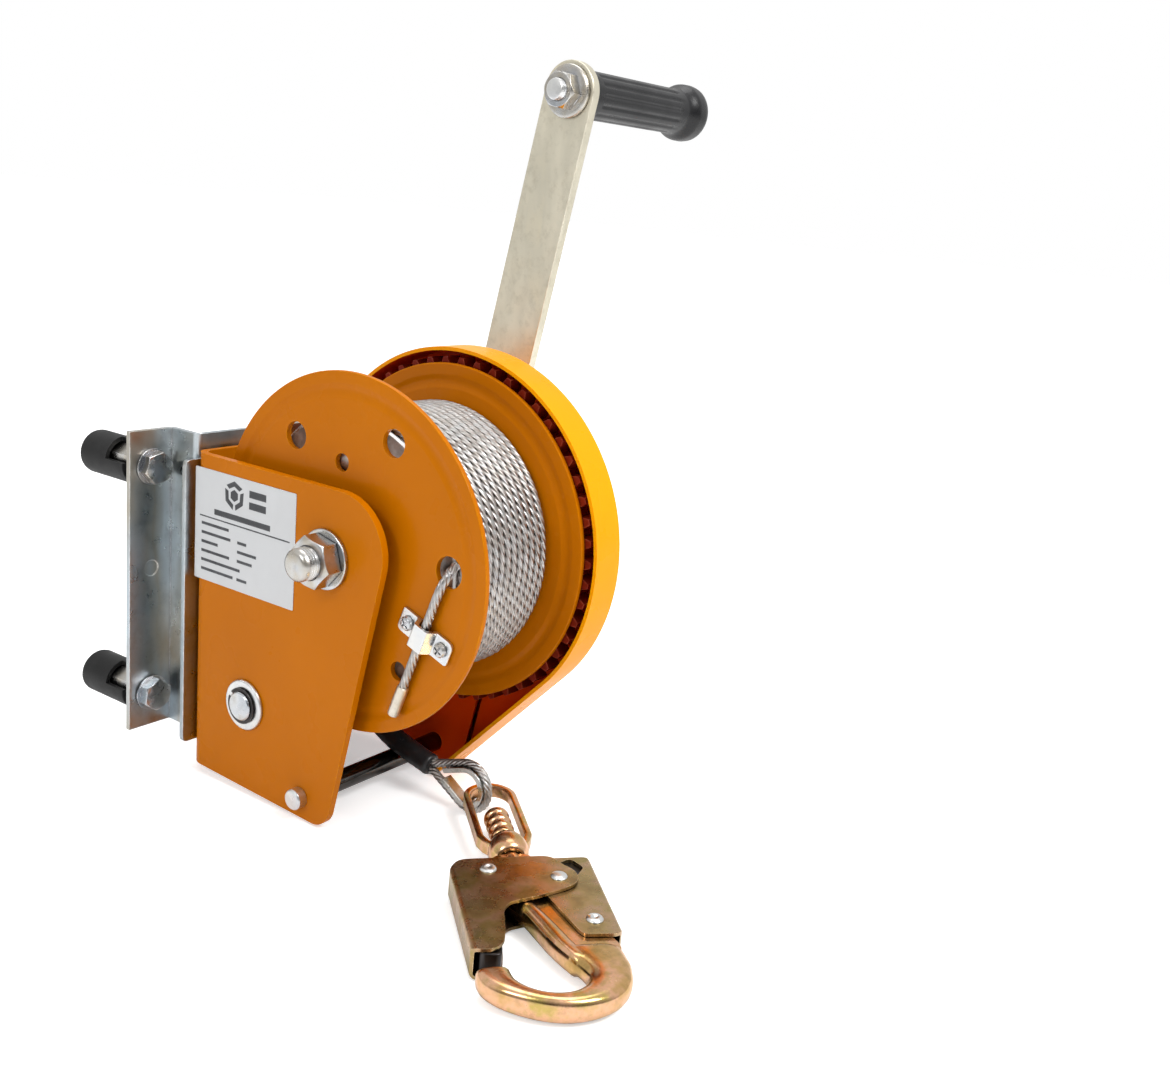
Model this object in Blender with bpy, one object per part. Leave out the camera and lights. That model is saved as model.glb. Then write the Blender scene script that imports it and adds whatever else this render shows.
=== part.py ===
"""Hand brake winch: U frame, geared rope drum, friction brake, crank, clamp bracket and swivel snap hook.

Everything is in metres, +Z up. The winch is laid out in drum coordinates: x runs along the drum shaft from
the outer face of the left side plate towards the crank, y runs from the drum axis to the mounting bracket,
and z rises from the drum axis. The WINCH empty then stands that layout on the ground, centred on its box.
The hook is laid out along its own axis, from the swivel to the bow, and the HOOK empty lays it on the ground.
"""

import math

import bmesh
import bpy
from mathutils import Matrix, Vector

GAP = 0.0003  # air between pieces that touch
RUNNING = 0.0004  # air round a shaft that turns

# Frame
PLATE = 0.004
FRAME_WIDTH = 0.110
FRAME_BACK = 0.103
FRAME_TOP = 0.036
BEND_RADIUS = 0.010
GROUND = -0.1465  # height of the ground below the drum axis
HEAD_CORNER = (-0.008, 0.006, 0.030)  # y, z and radius of the side plate's rounded head
FOOT_CORNER = (0.003, -0.1335, 0.012)

# Drum
NEAR_FLANGE_X = 0.0126
FAR_FLANGE_X = 0.0886
FLANGE = 0.003
FLANGE_RADIUS = 0.0925
BARREL_RADIUS = 0.032
WINDING_RADIUS = 0.073
SHAFT_RADIUS = 0.0085
ROPE = 0.0048

# Gears
MODULE = 0.0035
GEAR_TEETH = 53
PINION_TEETH = 10
GEAR_X = 0.0922
GEAR_WIDTH = 0.010
CENTRE_DISTANCE = MODULE * (GEAR_TEETH + PINION_TEETH) / 2 + 0.0002
PINION_ANGLE = math.radians(-59.1)  # direction from the drum axis to the pinion axis
PINION = (CENTRE_DISTANCE * math.cos(PINION_ANGLE), CENTRE_DISTANCE * math.sin(PINION_ANGLE))
PINION_SHAFT_RADIUS = 0.009

# Gear cover
COVER_RADIUS = 0.101
COVER_WALL = 0.002
COVER_RIM_X = 0.090
COVER_BACK_X = FRAME_WIDTH + GAP + COVER_WALL

# Crank
ARM_X = 0.157
ARM_THICKNESS = 0.006
ARM_WIDTH = 0.033
CRANK_LENGTH = 0.340
CRANK_LEAN = math.radians(11.2)  # of the arm from the vertical, towards the front
HANDLE = (PINION[0] - CRANK_LENGTH * math.sin(CRANK_LEAN), PINION[1] + CRANK_LENGTH * math.cos(CRANK_LEAN))
GRIP_LENGTH = 0.118
GRIP_RADIUS = 0.013
GRIP_END_RADIUS = 0.0165

# Tie rod, pawl and bracket
TIE_ROD = (0.0125, -0.1335)
TIE_ROD_RADIUS = 0.0056
PAWL_PIVOT = (0.0186, -0.0587)
BRACKET_SHEET = 0.003
BRACKET_FRONT = 0.128  # y of the flanges' front faces
BRACKET_CROWN = 0.1066  # y of the crown's front face
BRACKET_TOP = 0.0437
BRACKET_BOTTOM = -0.1265
BRACKET_FLANGE = 0.0268
BRACKET_WEB_X = 0.0056  # outer face of the left web
BRACKET_BOLT_X = -0.0071
BRACKET_BOLT_Z = (0.0235, -0.1069)
BUFFER_RADIUS = 0.0122
BUFFER_END = 0.176

# Rope end and hook
ROPE_X = 0.070
SLEEVE_RADIUS = 0.0062
EYE_CENTRE = (-0.045, -0.1308)
EYE_RADIUS = 0.013  # of the rope's centre line round the thimble
HOOK_HEADING = math.radians(-130.4)
HOOK_DROP = math.radians(1.6)
EYE_ARC = 0.0125  # radius of the swivel eye's round end
EYE_MIDDLE = (ROPE_X, -0.0596, -0.1339)  # centre of that round end, which the hook turns about
EYE_LENGTH = 0.0605  # end of the eye to the point that the hook's outlines are measured from
DOME = EYE_LENGTH + 0.006  # end of the eye to the middle of the swivel dome

BOX_X = (-0.0215, ARM_X + ARM_THICKNESS + GAP + GRIP_LENGTH)  # of everything but the free rope end
BOX_Y = (-COVER_RADIUS, BUFFER_END)


def clear_scene():
    for obj in list(bpy.data.objects):
        bpy.data.objects.remove(obj, do_unlink=True)


def finish(name, colour, roughness, metallic):
    """A Principled material for one kind of surface."""
    material = bpy.data.materials.get(name) or bpy.data.materials.new(name)
    material.use_nodes = True
    shader = material.node_tree.nodes["Principled BSDF"]
    shader.inputs["Base Color"].default_value = (*colour, 1.0)
    shader.inputs["Roughness"].default_value = roughness
    shader.inputs["Metallic"].default_value = metallic
    return material


clear_scene()
ORANGE = finish("orange_paint", (0.60, 0.16, 0.005), 0.4, 0.0)
YELLOW = finish("cover_paint", (1.0, 0.42, 0.01), 0.4, 0.0)
ZINC = finish("zinc", (0.62, 0.64, 0.66), 0.3, 1.0)
BLACK_STEEL = finish("black_steel", (0.05, 0.05, 0.05), 0.35, 1.0)
ARM_ZINC = finish("arm_zinc", (0.70, 0.66, 0.54), 0.35, 1.0)
GOLD_ZINC = finish("gold_zinc", (0.75, 0.55, 0.22), 0.3, 1.0)
BRONZE = finish("bronze", (0.55, 0.36, 0.16), 0.4, 1.0)
RUBBER = finish("rubber", (0.03, 0.03, 0.03), 0.7, 0.0)
ROPE_STEEL = finish("rope_steel", (0.55, 0.55, 0.53), 0.45, 1.0)
FRICTION = finish("friction_lining", (0.16, 0.09, 0.06), 0.8, 0.0)

WINCH = bpy.data.objects.new("WINCH", None)
HOOK = bpy.data.objects.new("HOOK", None)
for empty in (WINCH, HOOK):
    bpy.context.scene.collection.objects.link(empty)
WINCH.location = (-sum(BOX_X) / 2, -sum(BOX_Y) / 2, -GROUND)
HOOK.parent = WINCH
HOOK.location = (
    EYE_MIDDLE[0] - EYE_ARC * math.cos(HOOK_HEADING), EYE_MIDDLE[1] - EYE_ARC * math.sin(HOOK_HEADING), EYE_MIDDLE[2])
HOOK.rotation_euler = (0.0, HOOK_DROP, HOOK_HEADING)


# Mesh tools


def add(name, mesh, material=None, parent=WINCH):
    """A new object from a bmesh, with outward faces and smooth shading under 30 degrees."""
    bmesh.ops.recalc_face_normals(mesh, faces=mesh.faces)
    data = bpy.data.meshes.new(name)
    mesh.to_mesh(data)
    mesh.free()
    if material:
        data.materials.append(material)
    data.shade_smooth()
    data.set_sharp_from_angle(angle=math.radians(30))
    obj = bpy.data.objects.new(name, data)
    bpy.context.scene.collection.objects.link(obj)
    obj.parent = parent
    return obj


def prism(outline, low, high, axis="X", holes=()):
    """A bmesh of a flat outline, with holes, extruded along an axis from low to high."""
    place = {"X": lambda p, q: (low, p, q), "Y": lambda p, q: (p, low, q), "Z": lambda p, q: (p, q, low)}[axis]
    mesh = bmesh.new()
    edges = []
    for loop in (outline, *holes):
        verts = [mesh.verts.new(place(p, q)) for p, q in loop]
        edges += [mesh.edges.new((a, b)) for a, b in zip(verts, verts[1:] + verts[:1])]
    bmesh.ops.triangle_fill(mesh, use_beauty=True, use_dissolve=False, edges=edges)
    base = mesh.faces[:]
    top = bmesh.ops.extrude_face_region(mesh, geom=base)["geom"]
    shift = {"X": (high - low, 0, 0), "Y": (0, high - low, 0), "Z": (0, 0, high - low)}[axis]
    bmesh.ops.translate(mesh, vec=shift, verts=[v for v in top if isinstance(v, bmesh.types.BMVert)])
    bmesh.ops.recalc_face_normals(mesh, faces=mesh.faces)
    return mesh


def turned(profile, centre=(0.0, 0.0), segments=32, axis="X"):
    """A bmesh turned about a line along an axis. The profile is a closed run of (distance along, radius)."""
    mesh = bmesh.new()
    rings = []
    for along, radius in profile:
        count = 1 if radius < 1e-7 else segments
        ring = []
        for i in range(count):
            angle = 2 * math.pi * i / segments
            p, q = centre[0] + radius * math.cos(angle), centre[1] + radius * math.sin(angle)
            ring.append(mesh.verts.new({"X": (along, p, q), "Y": (p, along, q), "Z": (p, q, along)}[axis]))
        rings.append(ring)
    for one, two in zip(rings, rings[1:] + rings[:1]):
        if len(one) == 1 and len(two) == 1:
            continue
        for i in range(segments):
            j = (i + 1) % segments
            corners = [one[i % len(one)], one[j % len(one)], two[j % len(two)], two[i % len(two)]]
            mesh.faces.new(list(dict.fromkeys(corners)))
    bmesh.ops.recalc_face_normals(mesh, faces=mesh.faces)
    return mesh


def tube(path, radius, sides=10, up=Vector((1, 0, 0))):
    """A bmesh of a round bar that follows a path, with flat ends. up is never along the path."""
    mesh = bmesh.new()
    path = [Vector(p) for p in path]
    rings = []
    for i, point in enumerate(path):
        ahead = (path[min(i + 1, len(path) - 1)] - path[max(i - 1, 0)]).normalized()
        side = ahead.cross(up).normalized()
        over = side.cross(ahead).normalized()
        ring = []
        for k in range(sides):
            angle = 2 * math.pi * k / sides
            ring.append(mesh.verts.new(point + radius * (math.cos(angle) * side + math.sin(angle) * over)))
        rings.append(ring)
    for one, two in zip(rings, rings[1:]):
        for k in range(sides):
            mesh.faces.new((one[k], one[(k + 1) % sides], two[(k + 1) % sides], two[k]))
    mesh.faces.new(rings[0])
    mesh.faces.new(rings[-1])
    bmesh.ops.recalc_face_normals(mesh, faces=mesh.faces)
    return mesh


def box(low, high):
    mesh = bmesh.new()
    bmesh.ops.create_cube(mesh, size=1.0)
    size = [b - a for a, b in zip(low, high)]
    middle = [(a + b) / 2 for a, b in zip(low, high)]
    bmesh.ops.transform(mesh, matrix=Matrix.Translation(middle) @ Matrix.Diagonal((*size, 1)), verts=mesh.verts)
    return mesh


def turn_about_x(mesh, angle, centre):
    """Turns a bmesh about the line through centre (y, z) along x."""
    spot = Vector((0, *centre))
    spin = Matrix.Translation(spot) @ Matrix.Rotation(angle, 4, "X") @ Matrix.Translation(-spot)
    bmesh.ops.transform(mesh, matrix=spin, verts=mesh.verts)
    return mesh


def combine(obj, mesh, operation):
    """Joins or cuts obj with a hidden helper made from a bmesh."""
    helper = add(f"{obj.name}_{operation.lower()}_{len(obj.modifiers)}", mesh, parent=obj.parent)
    helper.hide_render = True
    helper.display_type = "WIRE"
    modifier = obj.modifiers.new(operation.title(), "BOOLEAN")
    modifier.operation = operation
    modifier.solver = "EXACT"
    modifier.object = helper
    return obj


def drill(obj, centre, radius, low, high, axis="X", segments=24):
    """Cuts a round hole along an axis."""
    combine(obj, turned([(low, 0), (low, radius), (high, radius), (high, 0)], centre, segments, axis), "DIFFERENCE")


def arc(centre, radius, start, end, steps):
    """Points on an arc, angles in degrees, anticlockwise when end is larger."""
    angles = [math.radians(start + (end - start) * i / steps) for i in range(steps + 1)]
    return [(centre[0] + radius * math.cos(a), centre[1] + radius * math.sin(a)) for a in angles]


def circle(centre, radius, steps=24):
    return arc(centre, radius, 0, 360, steps)[:-1]


def hexagon(centre, across_flats, turn=0.0):
    return [
        (centre[0] + across_flats / math.sqrt(3) * math.cos(math.radians(60 * i + turn)),
         centre[1] + across_flats / math.sqrt(3) * math.sin(math.radians(60 * i + turn)))
        for i in range(6)
    ]


def belt(circles, step=12.0):
    """The outline of a belt drawn tight round circles (p, q, radius), which are listed anticlockwise."""
    normals = []
    for (p, q, r), (p2, q2, r2) in zip(circles, circles[1:] + circles[:1]):
        heading = math.atan2(q2 - q, p2 - p)
        normals.append(heading - math.acos((r - r2) / math.hypot(p2 - p, q2 - q)))
    outline = []
    for i, (p, q, r) in enumerate(circles):
        start, end = math.degrees(normals[i - 1]), math.degrees(normals[i])
        sweep = (end - start) % 360
        outline += arc((p, q), r, start, start + sweep, max(1, round(sweep / step)))
    return outline


def smooth_path(points, pieces=6):
    """A Catmull-Rom curve through points, as a list of vectors."""
    spots = [Vector(p) for p in points]
    spots = [2 * spots[0] - spots[1], *spots, 2 * spots[-1] - spots[-2]]
    path = []
    for a, b, c, d in zip(spots, spots[1:], spots[2:], spots[3:]):
        for i in range(pieces):
            t = i / pieces
            path.append(
                0.5 * (2 * b + (c - a) * t + (2 * a - 5 * b + 4 * c - d) * t**2 + (3 * b - a - 3 * c + d) * t**3)
            )
    return [*path, spots[-2]]


def cord(name, points, diameter, material, pieces=4):
    """A rope's tube: a curve object with a round bevel and filled ends."""
    data = bpy.data.curves.new(name, "CURVE")
    data.dimensions = "3D"
    path = smooth_path(points, pieces)
    spline = data.splines.new("POLY")
    spline.points.add(len(path) - 1)
    for spot, point in zip(spline.points, path):
        spot.co = (*point, 1.0)
    data.bevel_depth = diameter / 2
    data.bevel_resolution = 2
    data.use_fill_caps = True
    data.materials.append(material)
    obj = bpy.data.objects.new(name, data)
    bpy.context.scene.collection.objects.link(obj)
    obj.parent = WINCH
    return obj


# Frame and its tie rod


def plate_outline(grow=0.0):
    """Side plate outline in (y, z): rounded head at the front, foot corner, square back."""
    back = 0.001
    return belt(
        [
            (FRAME_BACK - back, FRAME_TOP - back, back + grow),
            (HEAD_CORNER[0], HEAD_CORNER[1], HEAD_CORNER[2] + grow),
            (FOOT_CORNER[0], FOOT_CORNER[1], FOOT_CORNER[2] + grow),
            (FRAME_BACK - back, -0.1415 + back, back + grow),
        ]
    )


def u_channel():
    """The frame's plan in (x, y): two side plates and a web, with round bends at the back."""
    right, back, inner = FRAME_WIDTH, FRAME_BACK, BEND_RADIUS - PLATE
    left_bend, right_bend = (BEND_RADIUS, back - BEND_RADIUS), (right - BEND_RADIUS, back - BEND_RADIUS)
    front = -0.080
    outside = [(right, front), *arc(right_bend, BEND_RADIUS, 0, 90, 6), *arc(left_bend, BEND_RADIUS, 90, 180, 6)]
    inside = [(PLATE, front), *arc(left_bend, inner, 180, 90, 6), *arc(right_bend, inner, 90, 0, 6)]
    return [*outside, (0.0, front), *inside, (right - PLATE, front)]


def frame():
    frame_object = add("frame", prism(u_channel(), -0.160, 0.050, "Z"), ORANGE)
    combine(frame_object, prism(plate_outline(), -0.001, FRAME_WIDTH + 0.001), "INTERSECT")
    lip_x = BEND_RADIUS
    lip = prism(
        belt([(lip_x, -0.1425, 0.004), (FRAME_WIDTH - lip_x, -0.1425, 0.004), (FRAME_WIDTH - lip_x, -0.130, 0.004),
              (lip_x, -0.130, 0.004)], 30),
        FRAME_BACK - PLATE, FRAME_BACK, "Y",
    )
    combine(frame_object, lip, "UNION")
    drill(frame_object, (0, 0), SHAFT_RADIUS + GAP, -0.01, FRAME_WIDTH + 0.01)
    drill(frame_object, PINION, 0.0113, -0.01, 0.05)
    drill(frame_object, PINION, 0.0133, 0.06, FRAME_WIDTH + 0.01)
    drill(frame_object, TIE_ROD, 0.0048, -0.01, FRAME_WIDTH + 0.01, segments=16)
    drill(frame_object, PAWL_PIVOT, 0.0053, 0.06, FRAME_WIDTH + 0.01, segments=16)
    for x, z in FRAME_BOLTS:
        drill(frame_object, (x, z), 0.0043, 0.090, 0.110, "Y", 16)
    for y, z in COVER_SCREWS:
        drill(frame_object, (y, z), 0.0033, 0.06, FRAME_WIDTH + 0.01, segments=12)


def tie_rod():
    neck, end = 0.0045, 0.0054
    inner_left, inner_right = PLATE + GAP, FRAME_WIDTH - PLATE - GAP
    profile = [
        (-0.0060, 0), (-0.0060, end - 0.0008), (-0.0052, end), (-GAP, end), (-GAP, neck), (inner_left, neck),
        (inner_left, TIE_ROD_RADIUS), (inner_right, TIE_ROD_RADIUS), (inner_right, neck), (FRAME_WIDTH, neck),
        (FRAME_WIDTH, 0),
    ]
    add("tie_rod", turned(profile, TIE_ROD, 20), BLACK_STEEL)


# Mounting bracket

FRAME_BOLTS = [(x, z) for x in (0.035, 0.075) for z in (0.015, -0.112)]
COVER_SCREWS = [(0.083, 0.022), (0.083, -0.124)]


def bracket_outline():
    """The bracket's plan in (x, y): a crown against the frame, two webs and two flanges."""
    sheet, bend = BRACKET_SHEET, 0.004
    left, right = BRACKET_WEB_X, FRAME_WIDTH - BRACKET_WEB_X
    tip_left, tip_right = left - BRACKET_FLANGE, right + BRACKET_FLANGE
    crown, flange, back = BRACKET_CROWN, BRACKET_FRONT, BRACKET_FRONT + BRACKET_SHEET
    front = [
        (tip_left, flange), (left, flange),
        *arc((left + bend, crown + bend), bend, 180, 270, 3),
        *arc((right - bend, crown + bend), bend, 270, 360, 3),
        (right, flange), (tip_right, flange),
    ]
    rear = [
        (tip_right, back), *arc((right - sheet + bend, back - bend), bend, 90, 180, 3),
        (right - sheet, crown + sheet), (left + sheet, crown + sheet),
        *arc((left + sheet - bend, back - bend), bend, 0, 90, 3), (tip_left, back),
    ]
    return front + rear


def mount_bracket():
    bracket = add("mount_bracket", prism(bracket_outline(), BRACKET_BOTTOM, BRACKET_TOP, "Z"), ZINC)
    for x in (BRACKET_BOLT_X, FRAME_WIDTH - BRACKET_BOLT_X):
        for z in BRACKET_BOLT_Z:
            drill(bracket, (x, z), 0.0053, 0.120, 0.140, "Y", 16)
        drill(bracket, (x, -0.034), 0.0045, 0.120, 0.1288, "Y", 16)
    for x, z in FRAME_BOLTS:
        drill(bracket, (x, z), 0.0043, 0.100, 0.115, "Y", 16)
    slot = belt([(0.1145, -0.047, 0.0028), (0.1145, -0.037, 0.0028)], 30)
    combine(bracket, prism(slot, -0.01, FRAME_WIDTH + 0.01), "DIFFERENCE")


def adapter_plate():
    edge = 0.0012
    outline = belt(
        [(-edge, -0.128, 0.003), (FRAME_WIDTH + edge, -0.128, 0.003), (FRAME_WIDTH + edge, 0.028, 0.003),
         (-edge, 0.028, 0.003)], 30)
    holes = [circle(spot, 0.0043, 16) for spot in FRAME_BOLTS]
    low, high = FRAME_BACK + GAP, BRACKET_CROWN - GAP
    add("adapter_plate", prism(outline, low, high, "Y", holes), ZINC)


def bolt(name, spot, stations):
    """A bolt along y with its nut, as one solid. stations are (y, across flats) for a hex and (y, -radius) for a circle."""
    mesh = bmesh.new()
    rings = []
    for y, size in stations:
        ring = []
        for i in range(12):
            radius = -size if size < 0 else size / 2 if i % 2 else size / math.sqrt(3)
            angle = math.radians(30 * i + 30)
            ring.append(mesh.verts.new((spot[0] + radius * math.cos(angle), y, spot[1] + radius * math.sin(angle))))
        rings.append(ring)
    for one, two in zip(rings, rings[1:]):
        for i in range(12):
            mesh.faces.new((one[i], one[(i + 1) % 12], two[(i + 1) % 12], two[i]))
    mesh.faces.new(rings[0])
    mesh.faces.new(rings[-1])
    add(name, mesh, ZINC)


def fasteners():
    for i, spot in enumerate(FRAME_BOLTS, 1):
        head, nut = FRAME_BACK - PLATE - GAP, BRACKET_CROWN + BRACKET_SHEET + GAP
        hexagonal, shank = 0.013, -0.0039
        bolt(f"frame_bolt_{i}", spot, [
            (head - 0.0053, hexagonal), (head, hexagonal), (head, shank), (nut, shank), (nut, hexagonal),
            (nut + 0.0065, hexagonal), (nut + 0.0065, shank), (nut + 0.0090, shank)])
    spots = [(x, z) for x in (BRACKET_BOLT_X, FRAME_WIDTH - BRACKET_BOLT_X) for z in BRACKET_BOLT_Z]
    for i, spot in enumerate(spots, 1):
        head, nut = BRACKET_FRONT - GAP, BRACKET_FRONT + BRACKET_SHEET + GAP
        hexagonal, shank, washer = 0.016, -0.0049, -0.0098
        bolt(f"bracket_bolt_{i}", spot, [
            (head - 0.0070, hexagonal), (head - 0.0012, hexagonal), (head - 0.0012, washer), (head, washer),
            (head, shank), (nut, shank), (nut, hexagonal), (nut + 0.0260, hexagonal), (nut + 0.0260, shank),
            (BUFFER_END - 0.0060, shank)])
        rubber_buffer(i, spot, nut)


def rubber_buffer(i, spot, back):
    """A rubber sleeve on the bolt's tail, cut away at its upper outer side, where the long nut shows."""
    start, bore, shank_bore = back + 0.006, 0.0097, 0.0054
    step, round_end = back + 0.026 + GAP, 0.0025
    end = BUFFER_END - 0.004
    profile = [
        (start, bore), (start, BUFFER_RADIUS), (BUFFER_END - round_end, BUFFER_RADIUS),
        (BUFFER_END - round_end * 0.3, BUFFER_RADIUS - round_end * 0.3), (BUFFER_END, BUFFER_RADIUS - round_end),
        (BUFFER_END, 0), (end, 0), (end, shank_bore), (step, shank_bore), (step, bore),
    ]
    buffer = add(f"rubber_buffer_{i}", turned(profile, spot, 20, "Y"), RUBBER)
    outward = -1 if spot[0] < FRAME_WIDTH / 2 else 1
    x_edges = sorted((spot[0] + outward * 0.001, spot[0] + outward * 0.020))
    combine(buffer, box((x_edges[0], start - 0.002, spot[1] + 0.001), (x_edges[1], start + 0.015, spot[1] + 0.020)),
            "DIFFERENCE")


# Drum


def shaft_parts():
    radius = SHAFT_RADIUS
    collar_left, collar_right = (PLATE + GAP, 0.0120), (0.1028, FRAME_WIDTH - PLATE - GAP)
    end = COVER_BACK_X + 0.013
    profile = [
        (-0.0215, 0), (-0.0215, radius - 0.001), (-0.0205, radius), (collar_left[0], radius), (collar_left[0], 0.0125),
        (collar_left[1], 0.0125), (collar_left[1], radius), (collar_right[0], radius), (collar_right[0], 0.0125),
        (collar_right[1], 0.0125), (collar_right[1], radius), (end - 0.001, radius), (end, radius - 0.001), (end, 0),
    ]
    add("main_shaft", turned(profile, segments=24), ZINC)
    bore = radius + GAP
    add("shaft_washer", turned([(-0.0025, bore), (-0.0025, 0.0155), (-GAP, 0.0155), (-GAP, bore)]), ZINC)
    nut_faces = {"shaft_nut_left": (-0.0125, -0.0028), "shaft_nut_right": (COVER_BACK_X + GAP, COVER_BACK_X + 0.0095)}
    for name, (low, high) in nut_faces.items():
        add(name, prism(hexagon((0, 0), 0.024, 12), low, high, "X", [circle((0, 0), bore)]), ZINC)


def flange_disc(name, low, groove):
    """A thin disc with a shallow ring pressed into its outer face, inside the rim, that stands out on the other."""
    high, bore, depth = low + FLANGE, 0.0132, 0.0009
    ring = [(0.0805, 0.0), (0.0830, depth), (0.0855, 0.0)] if groove else []
    front = [(low + d, r) for r, d in ring]
    back = [(high + d, r) for r, d in reversed(ring)]
    profile = [(low, bore), *front, (low, FLANGE_RADIUS), (high, FLANGE_RADIUS), *back, (high, bore)]
    return add(name, turned(profile, segments=60), ORANGE)


NEAR_HOLES = [((0.038, 0.0545), 0.0072), ((0.0047, 0.0466), 0.0047), ((-0.0295, 0.0623), 0.0072),
              ((-0.0402, -0.0510), 0.0050)]
ROPE_HOLE = (-0.0691, 0.0070)
CLAMP = (-0.0577, -0.0275)
ROPE_TAIL_END = (-0.0405, -0.0725)
TAIL_LEAN = math.atan2(ROPE_HOLE[0] - ROPE_TAIL_END[0], ROPE_HOLE[1] - ROPE_TAIL_END[1])
TAIL_X = NEAR_FLANGE_X - 0.0033  # centre of the tail and its ferrule


def tail_point(along, x=TAIL_X):
    """A point on the tail's line, measured from the clamp towards the rope hole."""
    return (x, CLAMP[0] + along * math.sin(TAIL_LEAN), CLAMP[1] + along * math.cos(TAIL_LEAN))


def drum():
    near = flange_disc("near_flange", NEAR_FLANGE_X, True)
    far = flange_disc("far_flange", FAR_FLANGE_X, False)
    for spot, radius in NEAR_HOLES:
        drill(near, spot, radius, 0.0, 0.03)
    rope_slot = belt([(*ROPE_HOLE, 0.0078), (ROPE_HOLE[0] + 0.001, ROPE_HOLE[1] + 0.001, 0.0078)], 15)
    combine(near, prism(rope_slot, 0.0, 0.03), "DIFFERENCE")
    for spot in CLAMP_SCREWS:
        drill(near, spot, 0.0021, 0.0, 0.03, segments=12)
    for turn in (45, 165, 285):
        spot = (0.052 * math.cos(math.radians(turn)), 0.052 * math.sin(math.radians(turn)))
        drill(far, spot, 0.0060, 0.08, 0.1)
    low, high = NEAR_FLANGE_X + FLANGE + GAP, FAR_FLANGE_X - GAP
    barrel = [(low, 0.028), (low, BARREL_RADIUS), (high, BARREL_RADIUS), (high, 0.028)]
    add("drum_barrel", turned(barrel, segments=32), ORANGE)
    inside = BARREL_RADIUS + 0.0005
    winding = [(low, inside), (low, WINDING_RADIUS), (high, WINDING_RADIUS), (high, inside)]
    add("rope_winding", turned(winding, segments=60), ROPE_STEEL)
    bore, body = SHAFT_RADIUS + RUNNING, 0.0129
    left = (0.0123, 0.026)
    add("drum_bush_left", turned([(left[0], bore), (left[0], body), (left[1], body), (left[1], bore)]), BRONZE)
    right = (0.078, 0.1025)
    add("drum_bush_right", turned([(right[0], bore), (right[0], body), (right[1], body), (right[1], bore)]), BRONZE)


def rope_tail():
    inside = NEAR_FLANGE_X + 0.0010
    points = [(inside, *ROPE_HOLE), (inside - 0.0016, *tail_point(0.0352)[1:]), tail_point(0.0300, TAIL_X + 0.0006),
              tail_point(0.0240), tail_point(0.0090), tail_point(-0.0080), tail_point(-0.0300)]
    cord("rope_tail", points, ROPE, ROPE_STEEL)
    start, end = tail_point(-0.0303), tail_point(-0.0480)
    add("rope_ferrule", tube([start, end], 0.0030, 16), ZINC)


CLAMP_SPREAD = 0.0117
CLAMP_SCREWS = [(CLAMP[0] + side * CLAMP_SPREAD * math.cos(-TAIL_LEAN), CLAMP[1] + side * CLAMP_SPREAD * math.sin(-TAIL_LEAN))
                for side in (-1, 1)]


def rope_clamp():
    """A pressed saddle over the tail, with a flat lobe and a screw on each side."""
    face = NEAR_FLANGE_X - GAP
    sheet, half, width = 0.0016, 0.0175, 0.0125
    crown_out, crown_in = TAIL_X - ROPE / 2 - GAP - sheet, TAIL_X - ROPE / 2 - GAP
    foot, shoulder = face - sheet, ROPE / 2 + GAP
    outline = [
        (half, face), (half, foot), (shoulder + 0.0042, foot), (shoulder + sheet, crown_out), (-shoulder - sheet, crown_out),
        (-shoulder - 0.0042, foot), (-half, foot), (-half, face), (-shoulder - 0.0026, face), (-shoulder, crown_in),
        (shoulder, crown_in), (shoulder + 0.0026, face),
    ]
    mesh = prism([(x, p) for p, x in outline], -width / 2, width / 2, "Z")
    bmesh.ops.translate(mesh, vec=(0, *CLAMP), verts=mesh.verts)
    turn_about_x(mesh, -TAIL_LEAN, CLAMP)
    clamp = add("rope_clamp", mesh, ZINC)
    for i, spot in enumerate(CLAMP_SCREWS, 1):
        drill(clamp, spot, 0.0023, 0.0, 0.03, segments=12)
        head, shank = foot - GAP, 0.0018
        profile = [(head - 0.0022, 0), (head - 0.0022, 0.0026), (head - 0.0012, 0.0038), (head, 0.0038), (head, shank),
                   (NEAR_FLANGE_X + FLANGE, shank), (NEAR_FLANGE_X + FLANGE, 0)]
        add(f"clamp_screw_{i}", turned(profile, spot, 16), ZINC)


# Gears and brake


def gear_outline(teeth, phase, thinning, addendum=0.85, dedendum=1.15):
    """Involute teeth with a 20 degree pressure angle. phase is the direction of one tooth's middle."""
    pitch = MODULE * teeth / 2
    base = pitch * math.cos(math.radians(20))
    involute = lambda r: math.tan(math.acos(min(1.0, base / r))) - math.acos(min(1.0, base / r))
    radii = [pitch - dedendum * MODULE, pitch, pitch + addendum * MODULE]
    outline = []
    for tooth in range(teeth):
        middle = phase + 2 * math.pi * tooth / teeth
        for side, run in ((-1, radii), (1, reversed(radii))):
            for r in run:
                half = math.pi / (2 * teeth) + involute(pitch) - involute(max(r, base)) - thinning / (2 * pitch)
                outline.append((r * math.cos(middle + side * half), r * math.sin(middle + side * half)))
    return outline


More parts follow.
